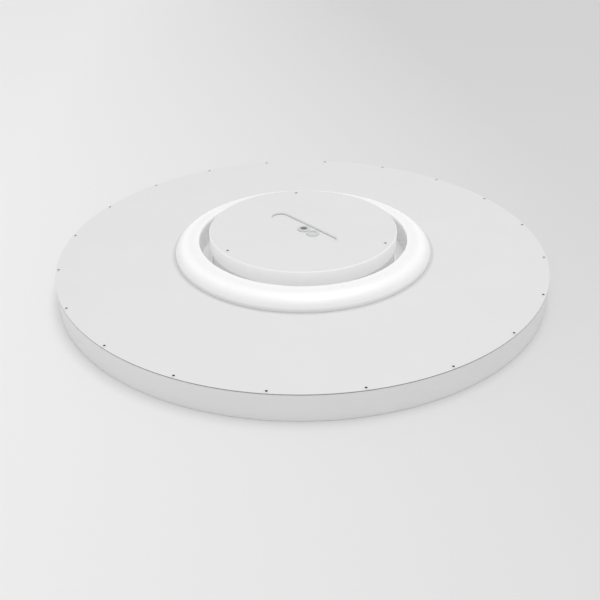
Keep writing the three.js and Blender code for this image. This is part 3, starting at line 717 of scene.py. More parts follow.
def block(shape, x0, x1, y0, y1, z0, z1, mark=0):
    """A box in a bmesh, with a material number."""
    made = bmesh.ops.create_cube(shape, size=1)["verts"]
    size = Vector((x1 - x0, y1 - y0, z1 - z0))
    centre = Vector((x0 + x1, y0 + y1, z0 + z1)) / 2
    bmesh.ops.transform(shape, matrix=Matrix.Translation(centre) @ Matrix.Diagonal((*size, 1)), verts=made)
    for face in {f for v in made for f in v.link_faces}:
        face.material_index = mark
    return made


def slab(shape, x, y, half_x, half_y, z0, z1, mark=0):
    """A box in a bmesh round an upright line."""
    return block(shape, x - half_x, x + half_x, y - half_y, y + half_y, z0, z1, mark)


def post(shape, radius, x, y, z0, z1, count=24, mark=0, top=None, turn=None):
    """A cylinder or cone in a bmesh, upright unless it is turned."""
    made = bmesh.ops.create_cone(
        shape, cap_ends=True, segments=count, radius1=radius, radius2=radius if top is None else top,
        depth=z1 - z0,
    )["verts"]
    place = Matrix.Translation((x, y, (z0 + z1) / 2))
    bmesh.ops.transform(shape, matrix=place @ turn if turn else place, verts=made)
    for face in {f for v in made for f in v.link_faces}:
        face.material_index = mark
    return made


def cutter(build):
    """A closed shape that cuts, built by a function on a bmesh."""
    shape = bmesh.new()
    build(shape)
    bmesh.ops.recalc_face_normals(shape, faces=shape.faces)
    piece = from_shape(shape, "cutter", smooth=False)
    piece.hide_render = True
    return piece


def assemble(name, build, marks, edge=0.3 * MM, segments=2):
    """A piece built by a function on a bmesh, with finishes by material number and softened edges."""
    shape = bmesh.new()
    build(shape)
    piece = from_shape(shape, name)
    for finish in marks:
        piece.data.materials.append(finish_of(finish))
    if edge:
        soften(piece, edge, segments)
        piece = settle(piece, name)
    return piece


def box_piece(name, a, b, finish, edge):
    """A softened box between two corners."""

    def build(shape):
        block(shape, a.x, b.x, a.y, b.y, a.z, b.z)

    return assemble(name, build, [finish], edge, 3)


def belongs(piece, body, slot, *nodes):
    """Rides on its body, takes its slot and stands for its CAD nodes."""
    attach(piece, body)
    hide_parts(*nodes)
    return piece


# ---- The body: band, plate, and what the light side needs ----


def build_side_ring():
    """The band: a lip at the light side, a wall, and a screw rib with a ledge for the pan."""
    s = settings("body")
    ledge = BAND_TOP - 1.5 * MM
    rib_low = BAND_TOP - 9 * MM
    ledge_r = OUTER_R - 12 * MM
    small = 0.25 * MM
    outline = [
        (OUTER_R - s.lip, 0, small),
        (OUTER_R, 0, s.edge * 1.6),
        (OUTER_R, BAND_TOP, s.edge * 0.6),
        (OUTER_R - s.rib, BAND_TOP, small),
        (OUTER_R - s.rib, ledge, 0),
        (ledge_r, ledge, small),
        (ledge_r, rib_low, small),
        (OUTER_R - s.wall, rib_low, 0),
        (OUTER_R - s.wall, s.wall, 0),
        (OUTER_R - s.lip, s.wall, small),
    ]
    ring = turned("side_ring_band", rounded(outline), "paint")
    pilots = [screw_bore(place, BAND_TOP - 8 * MM, BAND_TOP + 1 * MM) for place in RIM_PLACES]
    ring = carve(ring, [join_cutters(pilots)])
    belongs(ring, "luminaire", "white_paint", "side_ring")


def screw_bore(place, bottom, top):
    return (place.x, place.y, settings("screws").shank + 0.12 * MM, bottom, top)


def join_cutters(bores):
    """One cutter from a list of upright bores."""

    def build(shape):
        for x, y, radius, bottom, top in bores:
            post(shape, radius, x, y, bottom, top, 20)

    return cutter(build)


def build_back_plate():
    """The flat sheet that closes the ceiling side, with its screw holes and its middle hole."""
    s = settings("body")
    shape = bmesh.new()
    outer = circle_loop(shape, OUTER_R, PLATE_TOP, s.sides)
    inner = circle_loop(shape, HALO_R - 8 * MM, PLATE_TOP, 180)
    bore = settings("screws").shank + 0.12 * MM
    holes = [circle_loop(shape, bore, PLATE_TOP, 16, p.x, p.y) for p in RIM_PLACES]
    flat_fill(shape, [outer, inner, *holes])
    bmesh.ops.recalc_face_normals(shape, faces=shape.faces)
    if shape.faces[0].normal.z < 0:
        bmesh.ops.reverse_faces(shape, faces=shape.faces)
    # The plate's finish has painted shade along the halo's foot.
    plate = from_shape(shape, "back_plate_sheet", "plate_paint_with_painted_shade")
    thicken(plate, PLATE_TOP - PLATE_BOTTOM)
    soften(plate, 0.16 * MM, 2, 50)
    plate = settle(plate, "back_plate_sheet")
    # The plate's rim faces get the dark edge finish: painted shade along the seam at the top of the band.
    plate.data.materials.append(finish_of("sheared"))
    for face in plate.data.polygons:
        rim = Vector(face.center).xy.length > OUTER_R - 0.5 * MM
        if rim and abs(face.normal.z) < 0.8:
            face.material_index = 1
    belongs(plate, "luminaire", "white_paint", "back_plate")


def build_carrier_pan():
    """The pan: its floor shows at the bottom of the gap round the drum."""
    wall_r = OUTER_R - PAN_INSET
    lip_r = high("carrier_pan").x
    sheet = PAN_TOP - PAN_BOTTOM
    outline = [
        (0, PAN_BOTTOM, 0),
        (wall_r, PAN_BOTTOM, 1.4 * MM),
        (wall_r, BAND_TOP - sheet, 0.3 * MM),
        (lip_r, BAND_TOP - sheet, 0.2 * MM),
        (lip_r, BAND_TOP, 0.2 * MM),
        (wall_r - sheet, BAND_TOP, 1.2 * MM),
        (wall_r - sheet, PAN_TOP, 0.3 * MM),
        (0, PAN_TOP, 0),
    ]
    points = rounded(outline)
    # The pan's finish has painted light: a faint glow in the gap.
    pan = turned("carrier_pan_pressing", points, "gap_paint_with_painted_glow", closed=False)
    bores = [(*WIRE_HOLE, 5 * MM, PAN_BOTTOM - MM, PAN_TOP + MM)]
    end = halo_lead_end()
    bores.append((end.x, end.y, 2.2 * MM, PAN_BOTTOM - MM, PAN_TOP + MM))
    bores += [screw_bore(place, PAN_BOTTOM - MM, PAN_TOP + MM) for place in CLAMP_PLACES]
    pan = carve(pan, [join_cutters(bores)])
    belongs(pan, "luminaire", "white_paint", "carrier_pan")


def build_diffuser():
    """The opal disc that it lies on, its foam gasket and the sloped reflector above them."""
    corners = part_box("front_diffuser")
    r = corners[1].x
    bottom, top = corners[0].z, corners[1].z
    outline = [(0, bottom, 0), (r, bottom, 0.5 * MM), (r, top, 0.5 * MM), (0, top, 0)]
    disc = turned("front_diffuser_disc", rounded(outline), "opal", closed=False)
    belongs(disc, "luminaire", "opal", "front_diffuser")

    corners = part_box("diffuser_gasket")
    inner = corners[1].x - 7.3 * MM
    outline = [
        (inner, corners[0].z, 0.6 * MM),
        (corners[1].x, corners[0].z, 0.6 * MM),
        (corners[1].x, corners[1].z, 0.6 * MM),
        (inner, corners[1].z, 0.6 * MM),
    ]
    gasket = turned("diffuser_gasket_foam", rounded(outline, 3), "foam")
    belongs(gasket, "luminaire", "foam", "diffuser_gasket")

    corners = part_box("edge_reflector")
    foot, top, wall = corners[0].z, corners[1].z, 1 * MM
    outline = [
        (inner, foot, 0.2 * MM),
        (corners[1].x, foot, 0.2 * MM),
        (corners[1].x, foot + wall, 0.2 * MM),
        (inner + wall, foot + wall, 0.8 * MM),
        (inner + wall - 6.5 * MM, top, 0.2 * MM),
        (inner - 6.5 * MM, top, 0.2 * MM),
    ]
    reflector = turned("edge_reflector_skirt", rounded(outline, 3), "plastic")
    belongs(reflector, "luminaire", "white_plastic", "edge_reflector")


def chip_thing(size, rise):
    """One LED chip: a bevelled white frame with a phosphor window on top."""
    shape = bmesh.new()
    half = size / 2
    block(shape, -half, half, -half, half, 0, rise)
    shape.normal_update()
    window = [f for f in shape.faces if f.normal.z > 0.9]
    bmesh.ops.inset_region(shape, faces=window, thickness=size * 0.14)
    layer = shape.faces.layers.bool.new("inner")
    for face in shape.faces:
        face[layer] = all(abs(v.co.x) < half * 0.9 and abs(v.co.y) < half * 0.9 for v in face.verts)
    piece = from_shape(shape, "chip")
    piece.hide_render = True
    return piece


def board_sector(name, inner, outer, start, end, bottom, top, finish):
    """A flat circuit board between two radii and two angles."""
    steps = max(8, int((end - start) / 0.02))
    shape = bmesh.new()
    angles = [start + (end - start) * k / steps for k in range(steps + 1)]
    rings = [arc(shape, radius, angles, top) for radius in (outer, inner)]
    for k in range(steps):
        shape.faces.new((rings[0][k], rings[0][k + 1], rings[1][k + 1], rings[1][k]))
    board = from_shape(shape, name, finish)
    thicken(board, top - bottom)
    soften(board, 0.15 * MM, 1)
    return settle(board, name)


def build_led_boards():
    """Four quarter boards under the pan with rings of chips facing the diffuser."""
    corners = [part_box(f"led_board_{k + 1}") for k in range(4)]
    top = max(c[1].z for c in corners)
    bottom = top - 1.2 * MM
    inner = 160 * MM
    outer = OUTER_R - PAN_INSET - 1.2 * MM - 22 * MM
    rings = 6
    for k in range(4):
        start = math.radians(90 * k + 1.5)
        end = math.radians(90 * k + 88.5)
        name = f"led_board_{k + 1}"
        board = board_sector(name + "_laminate", inner, outer, start, end, bottom, top, "white_board")
        belongs(board, "luminaire", "led_board", name)
        places, turns = [], []
        for ring in range(rings):
            radius = inner + (outer - inner) * (ring + 0.5) / rings
            count = int(radius * math.pi / 2 / (17 * MM))
            for step in range(count):
                angle = start + (end - start) * (step + 0.5) / count
                places.append((radius * math.cos(angle), radius * math.sin(angle), bottom - 0.8 * MM))
                turns.append(angle)
        chips = scattered(
            f"led_chips_{k + 1}", chip_thing(3 * MM, 0.75 * MM), places, "white_board", "chip", 0.0, 1, turns
        )
        flip = Matrix.Translation((0, 0, 2 * (bottom - 0.4 * MM))) @ Matrix.Diagonal((1, 1, -1, 1))
        chips.data.transform(flip)
        face_out(chips)
        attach(chips, "luminaire")


# ---- Screws ----


def drive_loop(shape, radius, z, count=36):
    """A six-lobed ring of vertices."""
    angles = [TURN * k / count for k in range(count)]
    radii = [radius * (0.86 + 0.14 * math.cos(6 * a)) for a in angles]
    return [shape.verts.new((r * math.cos(a), r * math.sin(a), z)) for r, a in zip(radii, angles)]


def screw_thing(depth, sunk=False):
    """One machine screw. A pan head stands on z = 0; a countersunk head has its top there."""
    s = settings("screws")
    shape = bmesh.new()
    rings = []

    def ring(radius, z):
        rings.append(circle_loop(shape, radius, z, 36))

    top = 0.0 if sunk else s.rise
    neck = -1.1 * MM if sunk else 0.0
    pitch = 0.5 * MM
    tip = -depth + 0.6 * MM
    ring(s.shank * 0.6, -depth)
    ring(s.shank, tip)
    for k in range(max(0, int((depth + neck - 1.2 * MM) / pitch))):
        base = tip + k * pitch
        ring(s.shank * 0.86, base + pitch / 2)
        ring(s.shank, base + pitch)
    ring(s.shank, neck)
    if sunk:
        ring(s.sunk - 0.1 * MM, -0.12 * MM)
        ring(s.sunk, -0.05 * MM)
        ring(s.sunk - 0.08 * MM, 0)
    else:
        ring(s.head - 0.1 * MM, 0)
        ring(s.head, 0.12 * MM)
        for k in range(1, 8):
            angle = math.pi / 2 * k / 7.5
            ring(s.head * (0.62 + 0.38 * math.cos(angle)), 0.2 * MM + (top - 0.2 * MM) * math.sin(angle))
    rings.append(drive_loop(shape, s.drive * 1.07, top))
    first_inner = len(rings)
    rings.append(drive_loop(shape, s.drive, top - 0.1 * MM))
    rings.append(drive_loop(shape, s.drive * 0.97, top - 0.9 * MM))
    ring(s.drive * 0.55, top - 1.0 * MM)
    stitch(shape, rings, ends=True)
    bmesh.ops.recalc_face_normals(shape, faces=shape.faces)
    # The drive's faces get the near-black finish: painted shade in the recess.
    dark = {v for loop in rings[first_inner:] for v in loop}
    layer = shape.faces.layers.bool.new("inner")
    for face in shape.faces:
        face[layer] = all(v in dark for v in face.verts)
    piece = from_shape(shape, "screw")
    piece.hide_render = True
    return piece


def build_screws():
    """Pan heads round the rim and on the clamp, countersunk heads in the cap."""
    s = settings("screws")
    sixth = TURN / 6
    spots = [(p.x, p.y, PLATE_TOP + 0.02 * MM) for p in RIM_PLACES]
    rim = scattered("rim_screws", screw_thing(7 * MM), spots, "paint", "drive", sixth, s.seed)
    belongs(rim, "luminaire", "screw", *[f"rim_screw_{k + 1:02d}" for k in range(20)])
    spots = [(p.x, p.y, CAP_TOP - 0.02 * MM) for p in LOCK_PLACES]
    depth = CAP_TOP - low("lock_catch_1").z - 1 * MM
    cap = scattered("cap_screws", screw_thing(depth, True), spots, "paint", "drive", sixth, s.seed + 1)
    belongs(cap, "cap", "screw", *[f"cap_screw_{k + 1}" for k in range(3)])
    clamp_top = high("cable_clamp").z + 0.02 * MM
    spots = [(p.x, p.y, clamp_top) for p in CLAMP_PLACES]
    clamp = scattered("clamp_screws", screw_thing(9 * MM), spots, "zinc", "drive", sixth, s.seed + 2)
    belongs(clamp, "luminaire", "zinc", "clamp_screw_1", "clamp_screw_2")


# ---- Halo ----


def build_halo_ring():
    """The opal crown: a quarter of an ellipse with a rounded inner edge, a wall and an inner lip."""
    s = settings("halo")
    inner = HALO_R - s.width
    foot = PLATE_TOP + 0.05 * MM
    rise = HALO_TOP - foot
    crown = []
    for k in range(s.steps + 1):
        angle = math.pi / 2 * k / s.steps
        crown.append((inner + s.width * math.sin(angle), foot + rise * math.cos(angle)))
    crown = [p for p in crown if p[0] > inner + s.edge * 1.4]
    under = []
    for k in range(s.steps // 2 + 1):
        angle = math.pi / 2 * (1 - k / (s.steps // 2))
        under.append((inner + (s.width - s.wall) * math.sin(angle), foot + (rise - s.wall) * math.cos(angle)))
    under = [p for p in under if p[0] > inner + s.wall]
    lip_low = HALO_TOP - s.lip
    edge = [
        (inner + s.edge * (1 - math.cos(a)), HALO_TOP - s.edge * (1 - math.sin(a)))
        for a in [math.pi / 2 * k / 6 for k in range(7)]
    ]
    outline = [(inner + 0.3 * MM, lip_low), (inner, lip_low + 0.3 * MM), *edge, *crown, *under,
               (inner + s.wall, lip_low + 0.3 * MM), (inner + s.wall - 0.3 * MM, lip_low)]
    ring = turned("halo_ring_crown", outline, "halo", sharp=55)
    belongs(ring, "luminaire", "opal", "halo_ring")


def build_halo_parts():
    """The collar inside the halo, its reflector outside and its ring of chips between them."""
    wall = 1 * MM
    top = high("halo_collar").z
    inner = COLLAR_R - wall
    roll = 0.35 * MM
    outline = [
        (inner, ON_PAN - 0.25 * MM, 0.2 * MM),
        (COLLAR_R, ON_PAN - 0.25 * MM, 0.2 * MM),
        (COLLAR_R, top, roll),
        (inner, top, roll),
    ]
    # The collar's finish has painted light: a glow from the halo.
    collar = turned("halo_collar_strip", rounded(outline, 4), "gap_paint_with_painted_glow")
    belongs(collar, "luminaire", "white_paint", "halo_collar")

    flange_r = high("halo_reflector").x
    wall_r = flange_r - 6 * MM
    top = high("halo_reflector").z
    outline = [
        (wall_r, ON_PAN, 0.2 * MM),
        (wall_r + wall, ON_PAN, 0.2 * MM),
        (wall_r + wall, top - wall, 0.6 * MM),
        (flange_r, top - wall, 0.2 * MM),
        (flange_r, top, 0.2 * MM),
        (wall_r, top, 1.2 * MM),
    ]
    reflector = turned("halo_reflector_ring", rounded(outline, 3), "plastic")
    belongs(reflector, "luminaire", "white_plastic", "halo_reflector")

    outer = high("halo_board").x
    inner = outer - 14 * MM
    top = ON_PAN + 1.2 * MM
    outline = [(inner, ON_PAN, 0.15 * MM), (outer, ON_PAN, 0.15 * MM), (outer, top, 0.15 * MM),
               (inner, top, 0.15 * MM)]
    board = turned("halo_board_laminate", rounded(outline, 2), "white_board")
    belongs(board, "luminaire", "led_board", "halo_board")
    count = 72
    radius = (inner + outer) / 2
    angles = [TURN * k / count for k in range(count)]
    places = [(radius * math.cos(a), radius * math.sin(a), top) for a in angles]
    chip = chip_thing(3 * MM, 0.75 * MM)
    chips = scattered("halo_chips", chip, places, "white_board", "chip", 0.0, 1, angles)
    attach(chips, "luminaire")


# ---- Cap, grommets, catches and drum ----


def pocket_loop(shape, half, z):
    """A ring of vertices parallel to the pocket's outline, half its width from the middle line."""
    s = settings("cap")
    return stadium_loop(shape, (s.pocket_length - s.pocket_width) / 2, half, z, 28)


def sheet_piece(shape, name, finish, thickness):
    """A sheet with its seen side outwards, thickened away from it."""
    bmesh.ops.recalc_face_normals(shape, faces=shape.faces)
    widest = max(shape.faces, key=lambda face: face.calc_area())
    if widest.normal.z < 0:
        bmesh.ops.reverse_faces(shape, faces=shape.faces)
    sheet = from_shape(shape, name, finish)
    thicken(sheet, thickness)
    sheet = settle(sheet, name)
    sheet.data.set_sharp_from_angle(angle=math.radians(40))
    return sheet


def build_cap():
    """The pressed cap: a flat top with a pocket and dimples, a rounded edge and a skirt."""
    s = settings("cap")
    shape = bmesh.new()
    sides = 288
    top_ring = circle_loop(shape, CAP_R - s.edge * 1.3, CAP_TOP, sides)
    rings = [top_ring]
    for k in range(9):
        angle = math.pi / 2 * k / 8
        spread = CAP_R - s.edge * (1 - math.sin(angle))
        rings.append(circle_loop(shape, spread, CAP_TOP - s.edge * (1 - math.cos(angle)), sides))
    rings.append(circle_loop(shape, CAP_R, CAP_TOP - s.edge * 1.5, sides))
    rings.append(circle_loop(shape, CAP_R, CAP_LOW + 0.4 * MM, sides))
    rings.append(circle_loop(shape, CAP_R, CAP_LOW, sides))
    stitch(shape, rings)

    half = s.pocket_width / 2
    e = s.pocket_edge
    pocket = [pocket_loop(shape, half + e * 1.2, CAP_TOP)]
    for k in range(8):
        angle = math.pi / 2 * k / 7
        out, down = e * (1 - math.sin(angle)), e * (1 - math.cos(angle))
        pocket.append(pocket_loop(shape, half + out, CAP_TOP - down))
    pocket.append(pocket_loop(shape, half, CAP_TOP - s.pocket_depth + s.pocket_seam))
    stitch(shape, pocket)

    mouths = []
    for place in LOCK_PLACES:
        wide, narrow = settings("screws").sunk, settings("screws").shank
        profile = [(wide + 0.75 * MM, 0), (wide + 0.4 * MM, 0.03 * MM), (wide + 0.12 * MM, 0.14 * MM),
                   (narrow + 0.25 * MM, 1.2 * MM)]
        dimple = [circle_loop(shape, r, CAP_TOP - z, 32, place.x, place.y) for r, z in profile]
        stitch(shape, dimple)
        mouths.append(dimple[0])
    flat_fill(shape, [top_ring, pocket[0], *mouths])
    # The cap's finish has painted light: its skirt glows as if lit by the halo.
    cap = sheet_piece(shape, "ceiling_cap_pressing", "gap_paint_with_painted_glow", s.sheet)
    belongs(cap, "cap", "white_paint", "ceiling_cap")


def build_tray():
    """The tray welded under the cap's opening: its floor, its sloped sides and its flange."""
    s = settings("cap")
    floor = CAP_TOP - s.pocket_depth
    flange = CAP_TOP - s.sheet - 0.05 * MM
    half = s.pocket_width / 2 + 1.6 * MM
    slope = flange - floor
    shape = bmesh.new()
    loops = [pocket_loop(shape, half + slope + 5 * MM, flange), pocket_loop(shape, half + slope, flange)]
    loops += [pocket_loop(shape, half, floor), pocket_loop(shape, half - 0.8 * MM, floor)]
    stitch(shape, loops)
    holes = [circle_loop(shape, 6.05 * MM, floor, 40, p.x, p.y) for p in GROMMET_PLACES]
    flat_fill(shape, [loops[-1], *holes])
    tray = sheet_piece(shape, "cap_pocket_tray", "paint", s.sheet * 0.8)
    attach(tray, "cap")


def build_grommets():
    """Two rubber grommets. The first is open, and the second still has its thin membrane."""
    floor = CAP_TOP - settings("cap").pocket_depth
    sheet = settings("cap").sheet
    bore, neck, flange = 4.5 * MM, 5.95 * MM, 8 * MM
    over = floor + 0.03 * MM
    under = floor - sheet - 0.1 * MM
    rise = high("cable_grommet_1").z - over
    outline = [
        (bore, under - 1.7 * MM, 0.5 * MM),
        (flange - 0.5 * MM, under - 1.7 * MM, 0.5 * MM),
        (flange - 0.5 * MM, under, 0.3 * MM),
        (neck, under, 0),
        (neck, over, 0),
        (flange, over, 0.15 * MM),
        (flange, over + rise * 0.55, 0.5 * MM),
        (flange - 1.8 * MM, over + rise, 0.7 * MM),
        (bore, over + rise, 0.6 * MM),
    ]
    skin = over + rise - 1.5 * MM
    under = [(0, skin - 0.6 * MM, 0), (bore, skin - 0.6 * MM, 0.3 * MM)]
    closed = [*under, *outline, (bore, skin, 0.4 * MM), (0, skin, 0)]
    for k, place in enumerate(GROMMET_PLACES):
        name = f"cable_grommet_{k + 1}"
        is_open = k == 0
        points = rounded(outline if is_open else closed, 4)
        grommet = turned(name + "_rubber", points, "rubber", closed=is_open, sides=64)
        grommet.data.transform(Matrix.Translation((place.x, place.y, 0)))
        belongs(grommet, "cap", "grommet_rubber", name)


def sector(shape, inner, outer, start, end, bottom, top, steps=6):
    """A closed block between two radii, two angles and two heights."""
    angles = [start + (end - start) * k / steps for k in range(steps + 1)]
    rings = [arc(shape, outer, angles, z) + arc(shape, inner, angles[::-1], z) for z in (bottom, top)]
    last = 2 * steps + 1
    for ring in rings:
        for k in range(steps):
            shape.faces.new((ring[k], ring[k + 1], ring[last - k - 1], ring[last - k]))
    stitch(shape, rings)


def lock_angles():
    return [math.atan2(p.y, p.x) for p in LOCK_PLACES]


def build_catches():
    """A zinc catch under each cap screw, with its tongue out through the drum's slot."""
    bottom, top = low("lock_catch_1").z, CAP_TOP - settings("cap").sheet - 0.05 * MM
    lock_r = Vector(LOCK_PLACES[0][:2]).length
    outer = DRUM_R - 1.3 * MM
    body_half = 4.5 * MM / lock_r
    tongue_half = 3.5 * MM / DRUM_R
    for k, angle in enumerate(lock_angles()):

        def build(shape, angle=angle):
            sector(shape, outer - 7 * MM, outer, angle - body_half, angle + body_half, bottom + 3 * MM, top)
            sector(shape, outer - 7 * MM, DRUM_R + 1.3 * MM, angle - tongue_half, angle + tongue_half, bottom,
                   bottom + 3 * MM)
            bmesh.ops.recalc_face_normals(shape, faces=shape.faces)

        catch = assemble(f"lock_catch_{k + 1}_block", build, ["zinc"], 0.35 * MM)
        place = LOCK_PLACES[k]
        bore = (place.x, place.y, settings("screws").shank + 0.1 * MM, bottom - MM, top + MM)
        catch = carve(catch, [join_cutters([bore])])
        belongs(catch, "cap", "zinc", f"lock_catch_{k + 1}")


def build_drum():
    """The neck under the cap, with a hooked slot for each catch."""
    wall = 1 * MM
    top = high("drum").z
    foot = 9 * MM
    outline = [
        (DRUM_R - foot, ON_PAN - 0.25 * MM, 0.2 * MM),
        (DRUM_R, ON_PAN - 0.25 * MM, 1.2 * MM),
        (DRUM_R, top, 0.3 * MM),
        (DRUM_R - wall, top, 0.3 * MM),
        (DRUM_R - wall, ON_PAN + wall - 0.25 * MM, 0.2 * MM),
        (DRUM_R - foot, ON_PAN + wall - 0.25 * MM, 0.2 * MM),
    ]
    # The drum's finish has painted light: a faint even glow.
    shell = turned("drum_shell", rounded(outline, 4), "drum_paint_with_painted_glow", sides=288)
    low_edge = low("lock_catch_1").z - 0.7 * MM
    high_edge = low_edge + 4.4 * MM
    room = 4.2 * MM / DRUM_R
    twist = next(j for j in frame["joints"] if j["name"] == "cap_twist")
    travel = math.radians(twist["range_deg"][1])

    def build(shape):
        for angle in lock_angles():
            free = angle + travel
            sector(shape, DRUM_R - 2 * MM, DRUM_R + MM, angle - room, free + room, low_edge, high_edge, 12)

    def build_mouths(shape):
        for angle in lock_angles():
            free = angle + travel
            sector(shape, DRUM_R - 2 * MM, DRUM_R + MM, free - room, free + room, low_edge + MM, top + MM)

    shell = carve(shell, [cutter(build), cutter(build_mouths)])
    belongs(shell, "luminaire", "white_paint", "drum")


# ---- Inside the drum ----


def build_driver():
    """The driver: a ribbed case, a board with its parts, and a lid with cooling slots."""
    a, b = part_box("driver_case")
    wall = 1.5 * MM
    mid = (a.y + b.y) / 2

    body = box_piece("driver_case_tray", a, b, "plastic", 0.8 * MM)

    def hollow(shape):
        block(shape, a.x + wall, b.x - wall, a.y + wall, b.y - wall, a.z + wall, b.z + MM)

    def notches(shape):
        for x in (a.x, b.x):
            slab(shape, x, mid, 2 * wall, 8 * MM, a.z + 4 * MM, b.z + MM)

    body = carve(body, [cutter(hollow), cutter(notches)])
    belongs(body, "luminaire", "white_plastic", "driver_case")

    lid_low = b.z + 0.05 * MM
    lid_high = high("driver_lid").z

    def slots(shape):
        for k in range(14):
            x = a.x + 18 * MM + k * 7.2 * MM
            slab(shape, x, mid, MM, 12 * MM, lid_low - MM, lid_high + MM)

    cover = box_piece(
        "driver_lid_plate", Vector((a.x, a.y, lid_low)), Vector((b.x, b.y, lid_high)), "plastic", 0.5 * MM
    )
    cover = carve(cover, [cutter(slots)])
    belongs(cover, "luminaire", "white_plastic", "driver_lid")

    c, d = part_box("driver_board")
    level = c.z + 1.6 * MM

    def parts(shape):
        block(shape, c.x, d.x, c.y, d.y, c.z, level)
        slab(shape, 0, mid, 11 * MM, 8 * MM, level, level + 9 * MM, 1)
        slab(shape, 0, mid, 8 * MM, 11 * MM, level + 1.5 * MM, level + 7.5 * MM, 2)
        for x, y, radius, rise in ((-36, 4, 6, 11), (34, -6, 4, 9), (-22, -9, 3, 7), (20, -10, 3, 7)):
            top = level + rise * MM
            cap = level + (rise + 0.2) * MM
            post(shape, radius * MM, x * MM, mid + y * MM, level, top, 32, 1)
            post(shape, radius * 0.86 * MM, x * MM, mid + y * MM, top, cap, 32, 3)
        for k in range(5):
            y = mid + (10 + 1.6 * k) * MM
            block(shape, 22 * MM, 46 * MM, y, y + 0.7 * MM, level, level + 9 * MM, 3)
        block(shape, 22 * MM, 46 * MM, mid + 10 * MM, mid + 17.1 * MM, level, level + 1.4 * MM, 3)
        for k in range(6):
            x = (-48 + 5 * k) * MM
            block(shape, x, x + 2.4 * MM, mid - 14 * MM, mid - 9 * MM, level, level + 1.6 * MM, 1)

    marks = ["green_board", "black", "copper", "aluminium"]
    board = assemble("driver_board_parts", parts, marks, 0.2 * MM, 1)
    belongs(board, "luminaire", "circuit_board", "driver_board")


def build_terminal():
    """The terminal block with funnel entries and three sprung buttons."""
    a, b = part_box("terminal_block")
    s = 3.3 * MM
    buttons = [(name, *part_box(name + "_button")) for name in ("line", "neutral", "earth")]

    block_piece = box_piece("terminal_block_body", a, b, "plastic", 0.8 * MM)

    def wells(shape):
        for _, lo, hi in buttons:
            x, y = (lo.x + hi.x) / 2, (lo.y + hi.y) / 2
            slab(shape, x, y, s, s, b.z - 8 * MM, b.z + MM)

    def entries(shape):
        lie = Matrix.Rotation(math.pi / 2, 4, "X")
        for _, lo, hi in buttons:
            x = (lo.x + hi.x) / 2
            for y in (a.y, b.y):
                post(shape, 2.2 * MM, x, y, a.z - MM, a.z + 13 * MM, 28, turn=lie)
            for sign, y in ((1, a.y), (-1, b.y)):
                near, far = (3 - sign) * MM, (3 + sign) * MM
                post(shape, near, x, y, a.z + 5 * MM, a.z + 7 * MM, 28, top=far, turn=lie)

    def grooves(shape):
        for k in (-1, 1):
            x = k * 6 * MM
            block(shape, x - 0.4 * MM, x + 0.4 * MM, a.y - MM, b.y + MM, b.z - 1.2 * MM, b.z + MM)

    block_piece = carve(block_piece, [cutter(wells), cutter(entries), cutter(grooves)])
    belongs(block_piece, "luminaire", "white_plastic", "terminal_block")

    for name, lo, hi in buttons:
        x, y = (lo.x + hi.x) / 2, (lo.y + hi.y) / 2

        def slot(shape, x=x, y=y, hi=hi):
            slab(shape, x, y, 2 * MM, 0.5 * MM, hi.z - 0.7 * MM, hi.z + MM)
            for row in (-1, 1):
                slab(shape, x, y + row * 1.9 * MM, 2 * MM, 0.2 * MM, hi.z - 0.3 * MM, hi.z + 0.12 * MM)

        button = box_piece(name + "_button_cap", lo, hi, "orange", 0.5 * MM)
        button = carve(button, [cutter(slot)])
        belongs(button, name + "_button", "orange_plastic", name + "_button")


def build_clamp_and_earth():
    """The cable clamp's bridge and the earth stud with its nut and toothed washer."""
    a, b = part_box("cable_clamp")
    foot = 8 * MM

    clamp = box_piece("cable_clamp_bridge", a, b, "plastic", 0.9 * MM)

    def passage(shape):
        mid = (a.y + b.y) / 2
        block(shape, a.x + foot, b.x - foot, a.y - MM, b.y + MM, a.z - MM, b.z - 3.4 * MM)
        for sign in (-1, 1):
            y = mid + sign * 3 * MM
            block(shape, a.x + foot + MM, b.x - foot - MM, y - 1.6 * MM, y + 1.6 * MM, b.z - 4 * MM,
                  b.z - 2.6 * MM)

    bores = [screw_bore(place, a.z - MM, b.z + MM) for place in CLAMP_PLACES]
    clamp = carve(clamp, [cutter(passage), join_cutters(bores)])
    belongs(clamp, "luminaire", "white_plastic", "cable_clamp")

    a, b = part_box("earth_stud")
    x, y = (a.x + b.x) / 2, (a.y + b.y) / 2
    level = a.z + 1 * MM

    def stud(shape):
        post(shape, 5 * MM, x, y, a.z, level, 40)
        post(shape, 4.2 * MM, x, y, level, level + 3.2 * MM, 6)
        rings = []
        steps = int((b.z - level - 3.2 * MM) / (0.35 * MM))
        for k in range(steps + 1):
            radius = (2 if k % 2 else 1.75) * MM
            rings.append(circle_loop(shape, radius, level + 3.1 * MM + k * 0.35 * MM, 28, x, y))
        stitch(shape, rings, ends=True)
        bmesh.ops.recalc_face_normals(shape, faces=shape.faces)

    piece = assemble("earth_stud_nut", stud, ["zinc"], 0.25 * MM, 2)
    belongs(piece, "luminaire", "zinc", "earth_stud")


# ---- Inner wires ----


def catmull(points, steps=10):
    """Points along the smooth curve through hand-chosen points, with centripetal spacing."""
    knots = [Vector(p) for p in points]
    ends = [knots[0] * 2 - knots[1], *knots, knots[-1] * 2 - knots[-2]]
    path = []
    for k in range(1, len(ends) - 2):
        a, b, c, d = ends[k - 1:k + 3]
        ta, tb, tc = [max((q - p).length, 1e-9) ** 0.5 for p, q in ((a, b), (b, c), (c, d))]
        into = ((b - a) / ta - (c - a) / (ta + tb) + (c - b) / tb) * tb
        out = ((c - b) / tb - (d - b) / (tb + tc) + (d - c) / tc) * tb
        path += interpolate_bezier(b, b + into / 3, c - out / 3, c, steps)[:-1]
    return [*path, knots[-1]]


